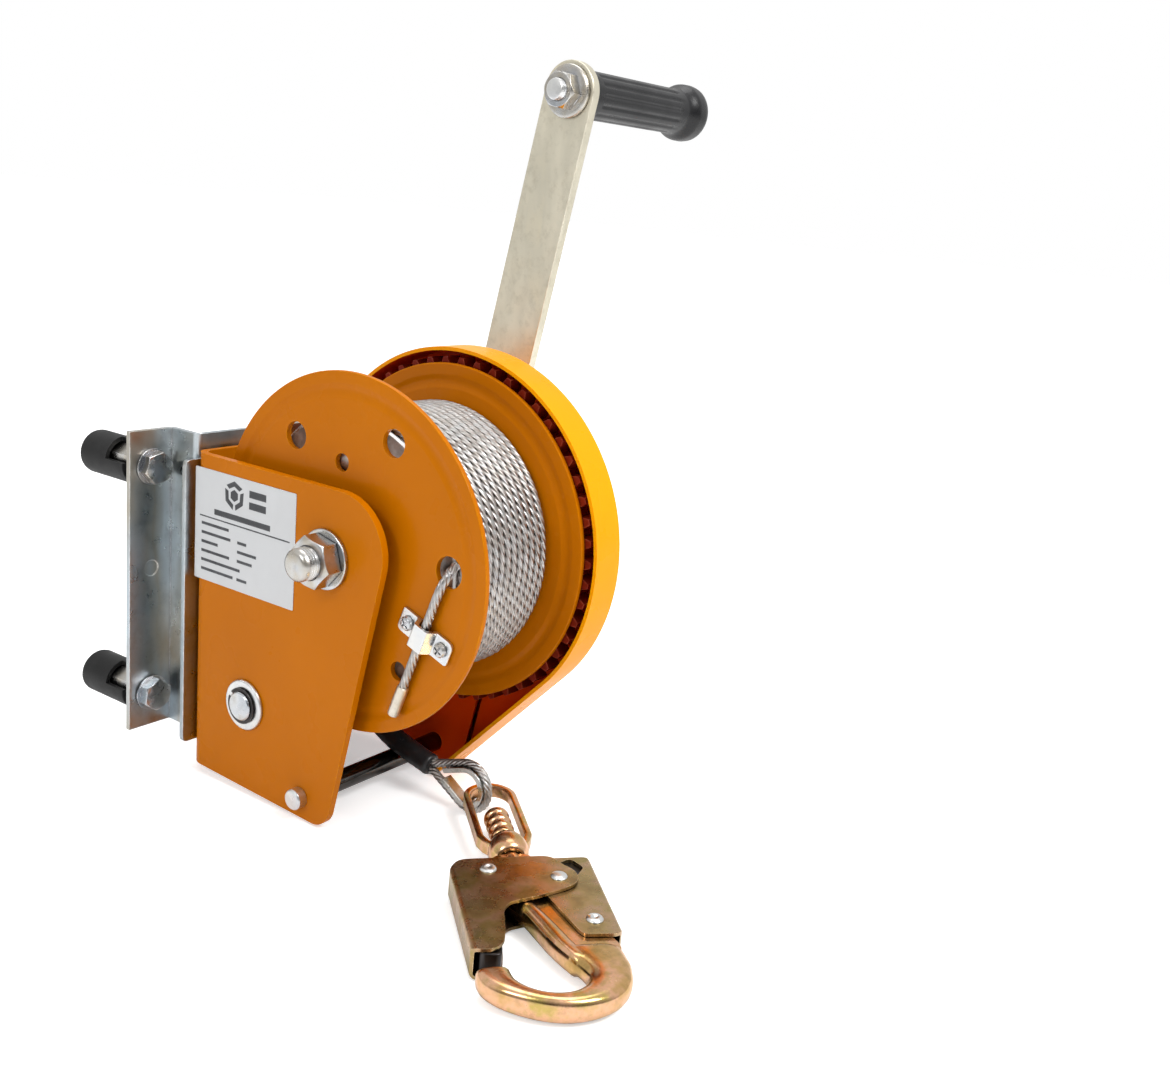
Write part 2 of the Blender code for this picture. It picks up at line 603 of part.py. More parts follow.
def gears():
    low, high = GEAR_X, GEAR_X + GEAR_WIDTH
    bore = circle((0, 0), 0.0132)
    add("drum_gear", prism(gear_outline(GEAR_TEETH, PINION_ANGLE, 0.0003), low, high, "X", [bore]), BLACK_STEEL)
    tooth = PINION_ANGLE + math.pi * (1 + 1 / PINION_TEETH)
    teeth = [(PINION[0] + p, PINION[1] + q) for p, q in gear_outline(PINION_TEETH, tooth, 0.0003)]
    shaft = add("pinion_shaft", prism(teeth, low, high + 0.001), ZINC)
    journal, groove, radius = 0.0080, 0.0072, PINION_SHAFT_RADIUS
    spindle, end = 0.0070, ARM_X + ARM_THICKNESS + 0.0145
    profile = [
        (-0.0048, 0), (-0.0048, journal - 0.0007), (-0.0041, journal), (-0.0037, journal), (-0.0037, groove),
        (-0.0027, groove), (-0.0027, journal), (0.0088, journal), (0.0088, radius), (ARM_X + 0.002, radius),
        (ARM_X + 0.002, spindle), (end, spindle), (end, 0),
    ]
    combine(shaft, turned(profile, PINION, 24), "UNION")
    ring = [(-0.0035, groove + 0.0002), (-0.0035, 0.0100), (-0.0029, 0.0100), (-0.0029, groove + 0.0002)]
    add("retaining_ring", turned(ring, PINION, 24), BLACK_STEEL)
    bush(
        "pinion_bush_left",
        [(-0.0022, journal + RUNNING), (-0.0022, 0.0132), (-0.0016, 0.0140), (-GAP, 0.0140), (-GAP, 0.0110),
         (0.0080, 0.0110), (0.0080, journal + RUNNING)])
    bore = radius + RUNNING
    bush(
        "pinion_bush_right",
        [(0.1036, bore), (0.1036, 0.0160), (0.1057, 0.0160), (0.1057, 0.0130), (0.1138, 0.0130), (0.1138, bore)])


def bush(name, profile):
    add(name, turned(profile, PINION, 24), ZINC if "left" in name else BRONZE)


BRAKE_X = 0.1143
RATCHET_TEETH = 16
RATCHET_TIP = 0.036
RATCHET_ROOT = 0.0305


def ring_on_pinion(name, low, high, inner, outer, material, segments=32):
    add(name, turned([(low, inner), (low, outer), (high, outer), (high, inner)], PINION, segments), material)


def brake():
    bore = PINION_SHAFT_RADIUS + GAP
    ring_on_pinion("pressure_disc", BRAKE_X, 0.1180, bore, 0.0330, ZINC)
    ring_on_pinion("friction_disc_inner", 0.1183, 0.1213, bore, 0.0300, FRICTION)
    outline = []
    for tooth in range(RATCHET_TEETH):
        start = 2 * math.pi * (tooth + 0.35) / RATCHET_TEETH
        for radius, lead in ((RATCHET_ROOT, 0.0), (RATCHET_TIP, 0.02), (RATCHET_TIP, 0.07)):
            angle = start + lead
            outline.append((PINION[0] + radius * math.cos(angle), PINION[1] + radius * math.sin(angle)))
    add("ratchet_wheel", prism(outline, 0.1216, 0.1276, "X", [circle(PINION, bore + 0.0002, 32)]), BLACK_STEEL)
    ring_on_pinion("friction_disc_outer", 0.1279, 0.1309, bore, 0.0300, FRICTION)
    hub = [
        (0.1312, bore), (0.1312, 0.0330), (0.1360, 0.0330), (0.1372, 0.0318), (0.1372, 0.0185), (0.1560, 0.0170),
        (ARM_X - GAP, 0.0160), (ARM_X - GAP, bore),
    ]
    add("crank_hub", turned(hub, PINION, 32), ZINC)


def pawl_parts():
    """The pawl lies in the ratchet's plane, its tip just clear of the teeth."""
    to_ratchet = math.atan2(PINION[1] - PAWL_PIVOT[1], PINION[0] - PAWL_PIVOT[0])
    reach = math.hypot(PINION[0] - PAWL_PIVOT[0], PINION[1] - PAWL_PIVOT[1])
    swing = math.radians(41)  # from the line of centres, so the tip meets a tooth's steep side
    tip = [(PAWL_PIVOT[0] + d * math.cos(to_ratchet + a), PAWL_PIVOT[1] + d * math.sin(to_ratchet + a))
           for d, a in ((0.0268, swing), (0.0292, swing + 0.16), (0.0262, swing + 0.27))]
    eye = arc(PAWL_PIVOT, 0.0085, math.degrees(to_ratchet + swing) + 95, math.degrees(to_ratchet + swing) + 275, 8)
    pawl = add("pawl", prism([*tip, *eye], 0.1219, 0.1273, "X", [circle(PAWL_PIVOT, 0.0050 + RUNNING, 16)]), ZINC)
    assert reach > RATCHET_TIP
    pin = [
        (0.1035, 0), (0.1035, 0.0075), (0.1057, 0.0075), (0.1057, 0.0050), (0.1277, 0.0050), (0.1277, 0.0075),
        (0.1300, 0.0075), (0.1300, 0),
    ]
    add("pawl_pin", turned(pin, PAWL_PIVOT, 16), ZINC)
    coil = []
    turns, radius, wire = 3.25, 0.0068, 0.0007
    for i in range(int(turns * 10) + 1):
        angle = 2 * math.pi * i / 10
        coil.append((0.1140 + 0.0018 * angle / (2 * math.pi), PAWL_PIVOT[0] + radius * math.cos(angle),
                     PAWL_PIVOT[1] + radius * math.sin(angle)))
    add("pawl_spring", tube(coil, wire, 5), BLACK_STEEL)
    return pawl


# Gear cover


def cover_outline(shrink=0.0):
    return belt(
        [(0, 0, COVER_RADIUS - shrink), (0.004, -0.1335, 0.0125 - shrink), (0.092, -0.1290, 0.0090 - shrink),
         (0.092, 0.020, 0.0090 - shrink)], 6)


def gear_cover():
    """A pan over the gear: a back sheet against the frame and a skirt round the top and front."""
    cover = add("gear_cover", prism(cover_outline(), COVER_RIM_X, COVER_BACK_X), YELLOW)
    inside_x = COVER_BACK_X - COVER_WALL
    combine(cover, prism(cover_outline(COVER_WALL), COVER_RIM_X - 0.01, inside_x), "DIFFERENCE")
    combine(cover, box((0.05, 0.086, -0.2), (inside_x, 0.2, 0.2)), "DIFFERENCE")
    combine(cover, box((0.05, 0.004, -0.2), (inside_x, 0.2, -0.11)), "DIFFERENCE")
    combine(cover, prism(plate_outline(0.0005), FRAME_WIDTH - PLATE - GAP, inside_x), "DIFFERENCE")
    drill(cover, (0, 0), SHAFT_RADIUS + GAP, 0.1, 0.13)
    drill(cover, PINION, 0.0133, 0.1, 0.13)
    drill(cover, PAWL_PIVOT, 0.0053, 0.1, 0.13, segments=16)
    for i, spot in enumerate(COVER_SCREWS, 1):
        drill(cover, spot, 0.0033, 0.1, 0.13, segments=12)
        head = COVER_BACK_X + GAP
        profile = [
            (0.1040, 0), (0.1040, 0.0030), (head, 0.0030), (head, 0.0055), (head + 0.0026, 0.0048), (head + 0.0036, 0.0030),
            (head + 0.0036, 0)]
        add(f"cover_screw_{i}", turned(profile, spot, 16), ZINC)


# Crank


def crank():
    low, high = ARM_X, ARM_X + ARM_THICKNESS
    half = ARM_WIDTH / 2
    outline = belt([(*HANDLE, half), (*PINION, half + 0.001)], 15)
    holes = [circle(PINION, PINION_SHAFT_RADIUS + GAP), circle(HANDLE, 0.0063, 16)]
    add("crank_arm", prism(outline, low, high, "X", holes), ARM_ZINC)
    nut = prism(hexagon(PINION, 0.024, 8), high + GAP, high + 0.0110, "X", [circle(PINION, 0.0073)])
    add("crank_nut", nut, ZINC)


def handle():
    low, high = ARM_X, ARM_X + ARM_THICKNESS
    grip_start = high + GAP
    grip_end = grip_start + GRIP_LENGTH
    pin_head = grip_end - 0.0100
    pin = [
        (low - 0.0135, 0), (low - 0.0135, 0.0048), (low - 0.0128, 0.0058), (pin_head, 0.0058), (pin_head, 0.0088),
        (pin_head + 0.0040, 0.0080), (pin_head + 0.0040, 0)]
    add("handle_pin", turned(pin, HANDLE, 20), ZINC)
    washer_r, dome = 0.0143, 0.0105
    nut = [
        (low - GAP, 0.0061), (low - GAP, washer_r), (low - 0.0018, washer_r), (low - 0.0030, 0.0120),
        (low - 0.0040, dome), (low - 0.0100, dome - 0.0015), (low - 0.0105, 0.0061)]
    add("handle_nut", turned(nut, HANDLE, 24), ZINC)
    grip = [
        (grip_start, 0.0063), (grip_start, GRIP_RADIUS - 0.0010), (grip_start + 0.0010, GRIP_RADIUS),
        (grip_end - 0.0200, GRIP_RADIUS), (grip_end - 0.0150, GRIP_RADIUS + 0.0008), (grip_end - 0.0110, GRIP_END_RADIUS),
        (grip_end - 0.0035, GRIP_END_RADIUS), (grip_end, GRIP_END_RADIUS - 0.0035), (grip_end, 0.0098),
        (pin_head - GAP, 0.0098), (pin_head - GAP, 0.0063)]
    add("hand_grip", turned(grip, HANDLE, 24), RUBBER)


# Free rope end, from the winding over the tie rod to the hook

LEAD_RADIUS = WINDING_RADIUS + ROPE / 2 + 0.0006
LEAD_POINTS = [
    *[(ROPE_X, LEAD_RADIUS * math.cos(math.radians(a)), LEAD_RADIUS * math.sin(math.radians(a))) for a in (20, 5, -10, -25)],
    (ROPE_X, 0.0615, -0.0500), (ROPE_X, 0.0535, -0.0680), (ROPE_X, 0.0455, -0.0845), (ROPE_X, 0.0385, -0.0985),
]
SLEEVE_POINTS = [
    (ROPE_X, 0.0310, -0.1080), (ROPE_X, 0.0225, -0.1153), (ROPE_X, 0.0125, -0.1204), (ROPE_X, -0.0030, -0.1248),
    (ROPE_X, -0.0175, -0.1280),
]


def short_of(start, end, gap=GAP):
    """The point that lies gap before end on the way from start."""
    start, end = Vector(start), Vector(end)
    return end - gap * (end - start).normalized()


def eye_loop(radius, throat, half_throat, steps=18):
    """A teardrop in the plane x = ROPE_X round EYE_CENTRE, open at its throat, as points (x, y, z)."""
    lean = math.atan2(EYE_CENTRE[1] - SLEEVE_POINTS[-1][2], EYE_CENTRE[0] - SLEEVE_POINTS[-1][1])
    along = Vector((0, math.cos(lean), math.sin(lean)))
    across = Vector((0, -along.z, along.y))
    centre = Vector((ROPE_X, *EYE_CENTRE))
    spread = math.asin((radius - half_throat) / throat) + math.pi / 2
    points = [centre - throat * along - half_throat * across]
    for i in range(steps + 1):
        angle = -spread + 2 * spread * i / steps
        points.append(centre + radius * (math.cos(angle) * along + math.sin(angle) * across))
    points.append(centre - throat * along + half_throat * across)
    return points


def rope_end():
    cord("rope_lead", [*LEAD_POINTS, short_of(LEAD_POINTS[-1], SLEEVE_POINTS[0], 0.0012)], ROPE, ROPE_STEEL)
    add("rope_sleeve", tube(smooth_path(SLEEVE_POINTS, 3), SLEEVE_RADIUS, 12), RUBBER)
    add("rope_eye", tube(eye_loop(EYE_RADIUS, 0.0254, ROPE / 2 + 0.0003, 24), ROPE / 2, 8), ROPE_STEEL)
    inner = EYE_RADIUS - ROPE / 2 - 0.0006 - 0.0016
    band = eye_loop(inner, 0.0165, 0.0014, 24)
    wide, thick = 0.0036, 0.0016
    mesh = bmesh.new()
    rings = []
    for i, point in enumerate(band):
        ahead = (band[min(i + 1, len(band) - 1)] - band[max(i - 1, 0)]).normalized()
        out = ahead.cross(Vector((1, 0, 0)))
        out *= 1 if out.dot(point - Vector((ROPE_X, *EYE_CENTRE))) > 0 else -1
        corners = ((-wide, 0), (wide, 0), (wide, thick), (-wide, thick))
        rings.append([mesh.verts.new(point + Vector((p, 0, 0)) + q * out) for p, q in corners])
    for one, two in zip(rings, rings[1:]):
        for k in range(4):
            mesh.faces.new((one[k], one[(k + 1) % 4], two[(k + 1) % 4], two[k]))
    mesh.faces.new(rings[0])
    mesh.faces.new(rings[-1])
    add("thimble", mesh, ZINC)


# Swivel and snap hook. Here x runs from the end of the eye to the bow and z is up. The outlines below are measured
# from EYE_LENGTH.

EYE_BAR = 0.0036
STEM = 0.0050
BODY_HALF = 0.0040
BOW_HALF = 0.0060
LEVER_IN, LEVER_OUT = 0.0043, 0.0059
GATE_IN, GATE_OUT = 0.0062, 0.0078
RIVET = 0.0023
GATE_RIVET = (0.0340, -0.0157)
LOCK_RIVET = (0.0778, 0.0262)
LOCK_STUD = (0.0435, 0.0170)


def along_hook(outline):
    return [(EYE_LENGTH + p, q) for p, q in outline]


def swivel_eye():
    half, straight = EYE_ARC, DOME - 0.003
    path = [(straight, -half + 0.004, 0), (straight - 0.008, -half, 0), (half, -half, 0)]
    path += [(half - half * math.sin(a), -half * math.cos(a), 0) for a in [math.pi * i / 12 for i in range(1, 12)]]
    path += [(half, half, 0), (straight - 0.008, half, 0), (straight, half - 0.004, 0)]
    eye = add("swivel_eye", tube(path, EYE_BAR, 10, Vector((0, 0, 1))), GOLD_ZINC, HOOK)
    dome = [
        (DOME - 0.0085, 0), (DOME - 0.0085, 0.0082), (DOME - 0.0045, 0.0099), (DOME, 0.0103), (DOME + 0.0045, 0.0094),
        (DOME + 0.0080, 0.0072), (DOME + 0.0080, 0)]
    combine(eye, turned(dome, segments=24), "UNION")
    drill(eye, (0, 0), STEM + RUNNING, DOME - 0.012, DOME + 0.02)


def soften(obj, width):
    """Chamfers the edges between a forging's flat faces and its sides."""
    bevel = obj.modifiers.new("Bevel", "BEVEL")
    bevel.width = width
    bevel.segments = 1
    bevel.limit_method = "ANGLE"
    bevel.angle_limit = math.radians(60)


def hook_body():
    """The forged body: a flat head in plan, and a thicker bow that ends in the nose."""
    head_outline = along_hook([
        (0.0150, -0.0095), (0.0240, -0.0130), (0.0270, -0.0225), (0.0410, -0.0225), (0.0500, -0.0130), (0.0640, -0.0042),
        (0.0920, 0.0040), (0.1010, 0.0090), (0.1010, 0.0335), (0.0950, 0.0337), (0.0880, 0.0310), (0.0730, 0.0310),
        (0.0660, 0.0225), (0.0520, 0.0110), (0.0300, 0.0100), (0.0150, 0.0095)])
    bow_outline = along_hook([
        (0.0945, 0.0050), (0.1120, 0.0135), (0.1170, 0.0140), (0.1225, 0.0108), (0.1262, 0.0050), (0.1270, -0.0010),
        (0.1255, -0.0078), (0.1215, -0.0136), (0.1160, -0.0172), (0.1105, -0.0185), (0.1070, -0.0185), (0.1040, -0.0305),
        (0.1060, -0.0345), (0.1140, -0.0330), (0.1215, -0.0285), (0.1285, -0.0185), (0.1340, -0.0085), (0.1368, 0.0020),
        (0.1362, 0.0135), (0.1315, 0.0245), (0.1235, 0.0315), (0.1120, 0.0350), (0.0970, 0.0345), (0.0945, 0.0342)])
    body = add("hook_body", prism(head_outline, -BODY_HALF, BODY_HALF, "Z"), GOLD_ZINC, HOOK)
    soften(body, 0.0014)
    bow = combine(body, prism(bow_outline, -BOW_HALF, BOW_HALF, "Z"), "UNION").modifiers[-1].object
    soften(bow, 0.0022)
    head = DOME - 0.0090
    profile = [(head - 0.0270, 0)]
    for back in (0.0270, 0.0203, 0.0136, 0.0069):
        profile += [(head - back, 0.0052), (head - back + 0.0012, 0.0068), (head - back + 0.0036, 0.0068),
                    (head - back + 0.0046, 0.0056)]
    profile += [(head, 0.0056), (head, STEM), (EYE_LENGTH + 0.019, STEM), (EYE_LENGTH + 0.019, 0)]
    combine(body, turned(profile, segments=16), "UNION")
    for p, q in (GATE_RIVET, LOCK_RIVET):
        drill(body, (EYE_LENGTH + p, q), RIVET + GAP, -0.02, 0.02, "Z", 12)


def cheeks(name, outline, inside, outside, bridge, holes=()):
    """Two cheek plates joined by a bridge, as one solid."""
    obj = add(name, prism(outline, inside, outside, "Z", holes), GOLD_ZINC, HOOK)
    combine(obj, prism(outline, -outside, -inside, "Z", holes), "UNION")
    combine(obj, prism(bridge, -outside + 0.0002, outside - 0.0002, "Z"), "UNION")
    return obj


def rivet(obj, spot, outside):
    """A rivet through both cheeks, with a low head on each side."""
    head, root = outside + 0.0012, outside - 0.0004
    profile = [(-head, 0), (-head, 0.0028), (-root, 0.0040), (-root, RIVET), (root, RIVET), (root, 0.0040),
               (head, 0.0028), (head, 0)]
    combine(obj, turned(profile, (EYE_LENGTH + spot[0], spot[1]), 16, "Z"), "UNION")


def hook_gate():
    """The gate: an arm over the hook's head, with a channel leg that closes the bow down to the nose."""
    outline = along_hook([
        (0.0310, -0.0330), (0.0260, -0.0290), (0.0245, -0.0240), (0.0240, 0.0140), (0.0262, 0.0185), (0.0325, 0.0210),
        (0.0360, 0.0243), (0.0410, 0.0265), (0.0460, 0.0262), (0.0505, 0.0235), (0.0535, 0.0185), (0.0590, 0.0040), (0.0635, -0.0095), (0.0690, -0.0145), (0.0840, -0.0165),
        (0.0935, -0.0185), (0.0985, -0.0230), (0.0990, -0.0290), (0.0970, -0.0340)])
    back = along_hook([(0.0320, -0.0331), (0.0970, -0.0341), (0.0972, -0.0324), (0.0320, -0.0314)])
    gate = cheeks("hook_gate", outline, GATE_IN, GATE_OUT, back)
    tongue = belt([(EYE_LENGTH + 0.0660, -0.0265, 0.0034), (EYE_LENGTH + 0.0945, -0.0275, 0.0034)], 30)
    combine(gate, prism(tongue, -GATE_OUT + 0.0003, GATE_OUT - 0.0003, "Z"), "UNION")
    rivet(gate, GATE_RIVET, GATE_OUT)
    for side in (-1, 1):
        head = side * (GATE_OUT + 0.0012)
        stud = [(side * (BODY_HALF + 0.0005), 0), (side * (BODY_HALF + 0.0005), 0.0022), (side * 0.0070, 0.0022),
                (side * 0.0070, 0.0040), (head, 0.0030), (head, 0)]
        combine(gate, turned(stud, (EYE_LENGTH + LOCK_STUD[0], LOCK_STUD[1]), 16, "Z"), "UNION")


def lock_lever():
    """The lock lever: cheeks under the gate's, slotted for its studs, with a thumb bridge along the hook's outer side."""
    outline = along_hook([
        (0.0235, 0.0050), (0.0235, 0.0340), (0.0255, 0.0366), (0.0870, 0.0372), (0.0900, 0.0345), (0.0890, 0.0190),
        (0.0860, 0.0172), (0.0600, 0.0095), (0.0450, 0.0055)])
    slot = belt([(EYE_LENGTH + 0.0330, 0.0183, 0.0029), (EYE_LENGTH + 0.0435, 0.0170, 0.0029),
                 (EYE_LENGTH + 0.0426, 0.0219, 0.0029), (EYE_LENGTH + 0.0330, 0.0285, 0.0029),
                 (EYE_LENGTH + 0.0285, 0.0260, 0.0029)], 30)
    bridge = along_hook([(0.0260, 0.0351), (0.0860, 0.0357), (0.0860, 0.0371), (0.0260, 0.0365)])
    lever = cheeks("lock_lever", outline, LEVER_IN, LEVER_OUT, bridge, [slot])
    rivet(lever, LOCK_RIVET, LEVER_OUT)


frame()
tie_rod()
mount_bracket()
adapter_plate()
fasteners()
shaft_parts()
drum()
rope_tail()
rope_clamp()
gears()
brake()
pawl_parts()
gear_cover()
crank()
handle()
rope_end()
swivel_eye()
hook_body()
hook_gate()
lock_lever()
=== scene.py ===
"""Looks of the hand brake winch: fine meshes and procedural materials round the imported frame."""

import math

import bmesh
import bpy
from mathutils import Euler, Matrix, Vector


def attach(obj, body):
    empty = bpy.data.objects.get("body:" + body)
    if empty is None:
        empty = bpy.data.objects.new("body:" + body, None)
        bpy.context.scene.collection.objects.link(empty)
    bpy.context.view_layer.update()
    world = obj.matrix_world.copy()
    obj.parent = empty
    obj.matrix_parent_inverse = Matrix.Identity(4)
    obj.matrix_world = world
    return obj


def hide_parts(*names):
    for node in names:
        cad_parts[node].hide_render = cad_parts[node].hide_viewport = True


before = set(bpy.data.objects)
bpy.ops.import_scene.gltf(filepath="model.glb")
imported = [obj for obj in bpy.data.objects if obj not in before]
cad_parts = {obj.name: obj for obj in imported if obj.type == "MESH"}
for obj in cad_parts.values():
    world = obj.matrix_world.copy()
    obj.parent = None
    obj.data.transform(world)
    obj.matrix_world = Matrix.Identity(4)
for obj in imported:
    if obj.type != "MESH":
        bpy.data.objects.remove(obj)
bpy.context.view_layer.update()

# Layout, in metres. x runs along the drum shaft, y towards the mounting bracket, z up from the drum axis.
PLATE = 0.004
FRAME_WIDTH = 0.11
FRAME_BACK = 0.103
FRAME_TOP = 0.036
BEND_RADIUS = 0.01
HEAD_CORNER = (-0.008, 0.006, 0.03)
FOOT_CORNER = (0.003, -0.1335, 0.012)
NEAR_FLANGE_X = 0.0126
FAR_FLANGE_X = 0.0886
FLANGE = 0.003
FLANGE_RADIUS = 0.0925
WINDING_RADIUS = 0.073
SHAFT_RADIUS = 0.0085
ROPE = 0.0048
MODULE = 0.0035
CENTRE_DISTANCE = MODULE * 63 / 2 + 0.0002
PINION_ANGLE = math.radians(-59.1)
PINION = (CENTRE_DISTANCE * math.cos(PINION_ANGLE), CENTRE_DISTANCE * math.sin(PINION_ANGLE))
COVER_RADIUS = 0.101
COVER_RIM_X = 0.09
COVER_BACK_X = FRAME_WIDTH + 0.0023
ARM_X = 0.157
ARM_THICKNESS = 0.006
ARM_WIDTH = 0.033
CRANK_LENGTH = 0.34
CRANK_LEAN = math.radians(11.2)
HANDLE = (PINION[0] - CRANK_LENGTH * math.sin(CRANK_LEAN), PINION[1] + CRANK_LENGTH * math.cos(CRANK_LEAN))
GRIP_LENGTH = 0.118
TIE_ROD = (0.0125, -0.1335)
PAWL_PIVOT = (0.0186, -0.0587)
BRACKET_BOLT_X = -0.0071
BRACKET_BOLT_Z = (0.0235, -0.1069)
BUFFER_END = 0.176
ROPE_X = 0.07
EYE_CENTRE = (-0.045, -0.1308)
HOOK_HEADING = math.radians(-130.4)
HOOK_DROP = math.radians(1.6)
EYE_ARC = 0.0125
EYE_MIDDLE = (ROPE_X, -0.0596, -0.1339)
EYE_LENGTH = 0.0605
DOME = EYE_LENGTH + 0.006
FRAME_BOLTS = [(x, z) for x in (0.035, 0.075) for z in (0.015, -0.112)]
COVER_SCREWS = [(0.083, 0.022), (0.083, -0.124)]
SHAFT_HOLE = SHAFT_RADIUS + 0.0003
PINION_HOLE = 0.0133
PAWL_HOLE = 0.0053
SCREW_HOLE = 0.0033
BOLT_HOLE = 0.0043
BOX_X = (-0.0215, ARM_X + ARM_THICKNESS + 0.0003 + GRIP_LENGTH)
BOX_Y = (-COVER_RADIUS, BUFFER_END)

WINCH = Matrix.Translation((-sum(BOX_X) / 2, -sum(BOX_Y) / 2, 0.1465))
HOOK = WINCH @ Matrix.Translation((
    EYE_MIDDLE[0] - EYE_ARC * math.cos(HOOK_HEADING), EYE_MIDDLE[1] - EYE_ARC * math.sin(HOOK_HEADING), EYE_MIDDLE[2],
)) @ Euler((0.0, HOOK_DROP, HOOK_HEADING)).to_matrix().to_4x4()


# Materials


class Shading:
    """A Principled material and the few node patterns that the materials here share."""

    def __init__(self, name, colour, roughness, metallic=0.0, **sockets):
        self.material = bpy.data.materials.new(name)
        self.material.use_nodes = True
        self.tree = self.material.node_tree
        self.shader = self.tree.nodes["Principled BSDF"]
        self.set("Base Color", (*colour, 1.0))
        self.set("Roughness", roughness)
        self.set("Metallic", metallic)
        for socket, value in sockets.items():
            self.set(socket.replace("_", " "), value)
        self.place = self.add("ShaderNodeTexCoord").outputs["Object"]

    def set(self, socket, value):
        self.shader.inputs[socket].default_value = value

    def feed(self, socket, value):
        """Links another node's output to a socket, or sets the socket's own value."""
        if isinstance(value, bpy.types.NodeSocket):
            self.tree.links.new(value, socket)
        else:
            socket.default_value = value

    def add(self, kind, **inputs):
        node = self.tree.nodes.new(kind)
        for name, value in inputs.items():
            self.feed(node.inputs[name.replace("_", " ")], value)
        return node

    def noise(self, scale, detail=3.0, rough=0.5, stretch=(1, 1, 1)):
        place = self.add("ShaderNodeMapping", Vector=self.place, Scale=stretch).outputs["Vector"]
        noise = self.add("ShaderNodeTexNoise", Vector=place, Scale=scale, Detail=detail, Roughness=rough)
        return noise.outputs["Fac"]

    def mapped(self, value, **ends):
        return self.add("ShaderNodeMapRange", Value=value, **ends).outputs["Result"]

    def ramp(self, value, *stops):
        node = self.add("ShaderNodeValToRGB", Fac=value)
        points = node.color_ramp.elements
        while len(points) < len(stops):
            points.new(0.5)
        for point, (at, colour) in zip(points, stops):
            point.position = at
            point.color = (*colour, 1.0) if isinstance(colour, tuple) else (colour, colour, colour, 1.0)
        return node.outputs["Color"]

    def mix(self, factor, one, two):
        node = self.tree.nodes.new("ShaderNodeMix")
        node.data_type = "RGBA"
        for index, value in ((0, factor), (6, one), (7, two)):
            self.feed(node.inputs[index], (*value, 1.0) if isinstance(value, tuple) else value)
        return node.outputs[2]

    def edges(self, radius=0.0009):
        """1 along sharp edges, broken up by noise. The paint lightens these edges as a painted highlight."""
        soft = self.add("ShaderNodeBevel", Radius=radius)
        soft.samples = 4
        turn = self.add("ShaderNodeVectorMath")
        turn.operation = "DOT_PRODUCT"
        self.tree.links.new(soft.outputs["Normal"], turn.inputs[0])
        self.tree.links.new(self.add("ShaderNodeNewGeometry").outputs["Normal"], turn.inputs[1])
        bright_edge = self.mapped(turn.outputs["Value"], From_Min=0.99, From_Max=0.9)
        patchy = self.ramp(self.noise(260, 4), (0.42, 0.15), (0.62, 1.0))
        return self.mix(bright_edge, (0.0, 0.0, 0.0), patchy)

    def crease_shade(self, distance=0.003):
        """1 in creases, from ambient occlusion: a mask for painted shade."""
        shade = self.add("ShaderNodeAmbientOcclusion", Distance=distance)
        shade.samples = 4
        return self.mapped(shade.outputs["AO"], From_Min=0.75, From_Max=0.35)

    def colour(self, output):
        self.feed(self.shader.inputs["Base Color"], output)

    def gloss(self, value, low, high):
        found = self.mapped(value, From_Min=0.3, From_Max=0.7, To_Min=low, To_Max=high)
        self.feed(self.shader.inputs["Roughness"], found)

    def bump(self, *layers):
        """layers are (height, metres)."""
        normal = None
        for height, distance in layers:
            node = self.add("ShaderNodeBump", Height=height, Distance=distance, Strength=1.0)
            if normal:
                self.feed(node.inputs["Normal"], normal)
            normal = node.outputs["Normal"]
        self.feed(self.shader.inputs["Normal"], normal)


def paint(name, colour, deep, bright_edge, roughness=(0.24, 0.34)):
    """Powder coat: orange peel, faint clouding, and thin bright edges, which are a painted highlight."""
    s = Shading(name, colour, 0.3, Coat_Weight=0.05, Coat_Roughness=0.08, Specular_IOR_Level=0.06)
    cloud = s.ramp(s.noise(11, 3, 0.5), (0.3, deep), (0.7, colour))
    dust = tuple(min(1, c * 1.1 + 0.006) for c in colour)
    dusty = s.mix(s.ramp(s.noise(70, 5, 0.7), (0.55, 0.0), (0.85, 0.1)), cloud, dust)
    # The lighter colour along the edges is a painted highlight, not wear on the paint.
    s.colour(s.mix(s.edges(), dusty, bright_edge))
    s.gloss(s.noise(38, 3), *roughness)
    s.bump((s.noise(620, 2, 0.4), 0.000025), (s.noise(90, 2), 0.00003))
    return s.material


def plated(name, tints, roughness=(0.18, 0.36), bright=(0.92, 0.93, 0.95), dark=(0.3, 0.3, 0.31), cloud=30,
           streaks=(1, 1, 1)):
    """Bright plated steel: drifting passivation tints, a fine grain, bright edges and grey creases of painted shade.
    """
    s = Shading(name, tints[0], 0.3, 1.0)
    stops = [(0.32 + 0.36 * i / (len(tints) - 1), tint) for i, tint in enumerate(tints)]
    tint = s.ramp(s.noise(cloud, 4, 0.55, streaks), *stops)
    aged = s.mix(s.ramp(s.noise(170, 5, 0.7), (0.5, 0.0), (0.72, 0.45)), tint, dark)
    # Creases darken towards the dark colour: painted shade.
    crease_shaded = s.mix(s.crease_shade(), aged, dark)
    s.colour(s.mix(s.edges(0.0006), crease_shaded, bright))
    s.gloss(s.noise(75, 4, 0.6), *roughness)
    s.bump((s.noise(1500, 2), 0.000012), (s.noise(240, 3), 0.00002))
    return s.material


def moulded(name, colour, roughness, grain=900, height=0.00005, dust=0.5, **sockets):
    """Rubber or moulded plastic: soft grain, pale dust in patches and lighter edges."""
    s = Shading(name, colour, roughness[0], **sockets)
    pale, lighter_edge = tuple(c * 1.9 + 0.012 for c in colour), tuple(c * 2.6 + 0.03 for c in colour)
    dusty = s.mix(s.ramp(s.noise(45, 5, 0.65), (0.45, 0.0), (0.78, dust)), colour, pale)
    s.colour(s.mix(s.edges(0.0006), dusty, lighter_edge))
    s.gloss(s.noise(60, 4), *roughness)
    s.bump((s.noise(grain, 2), height))
    return s.material


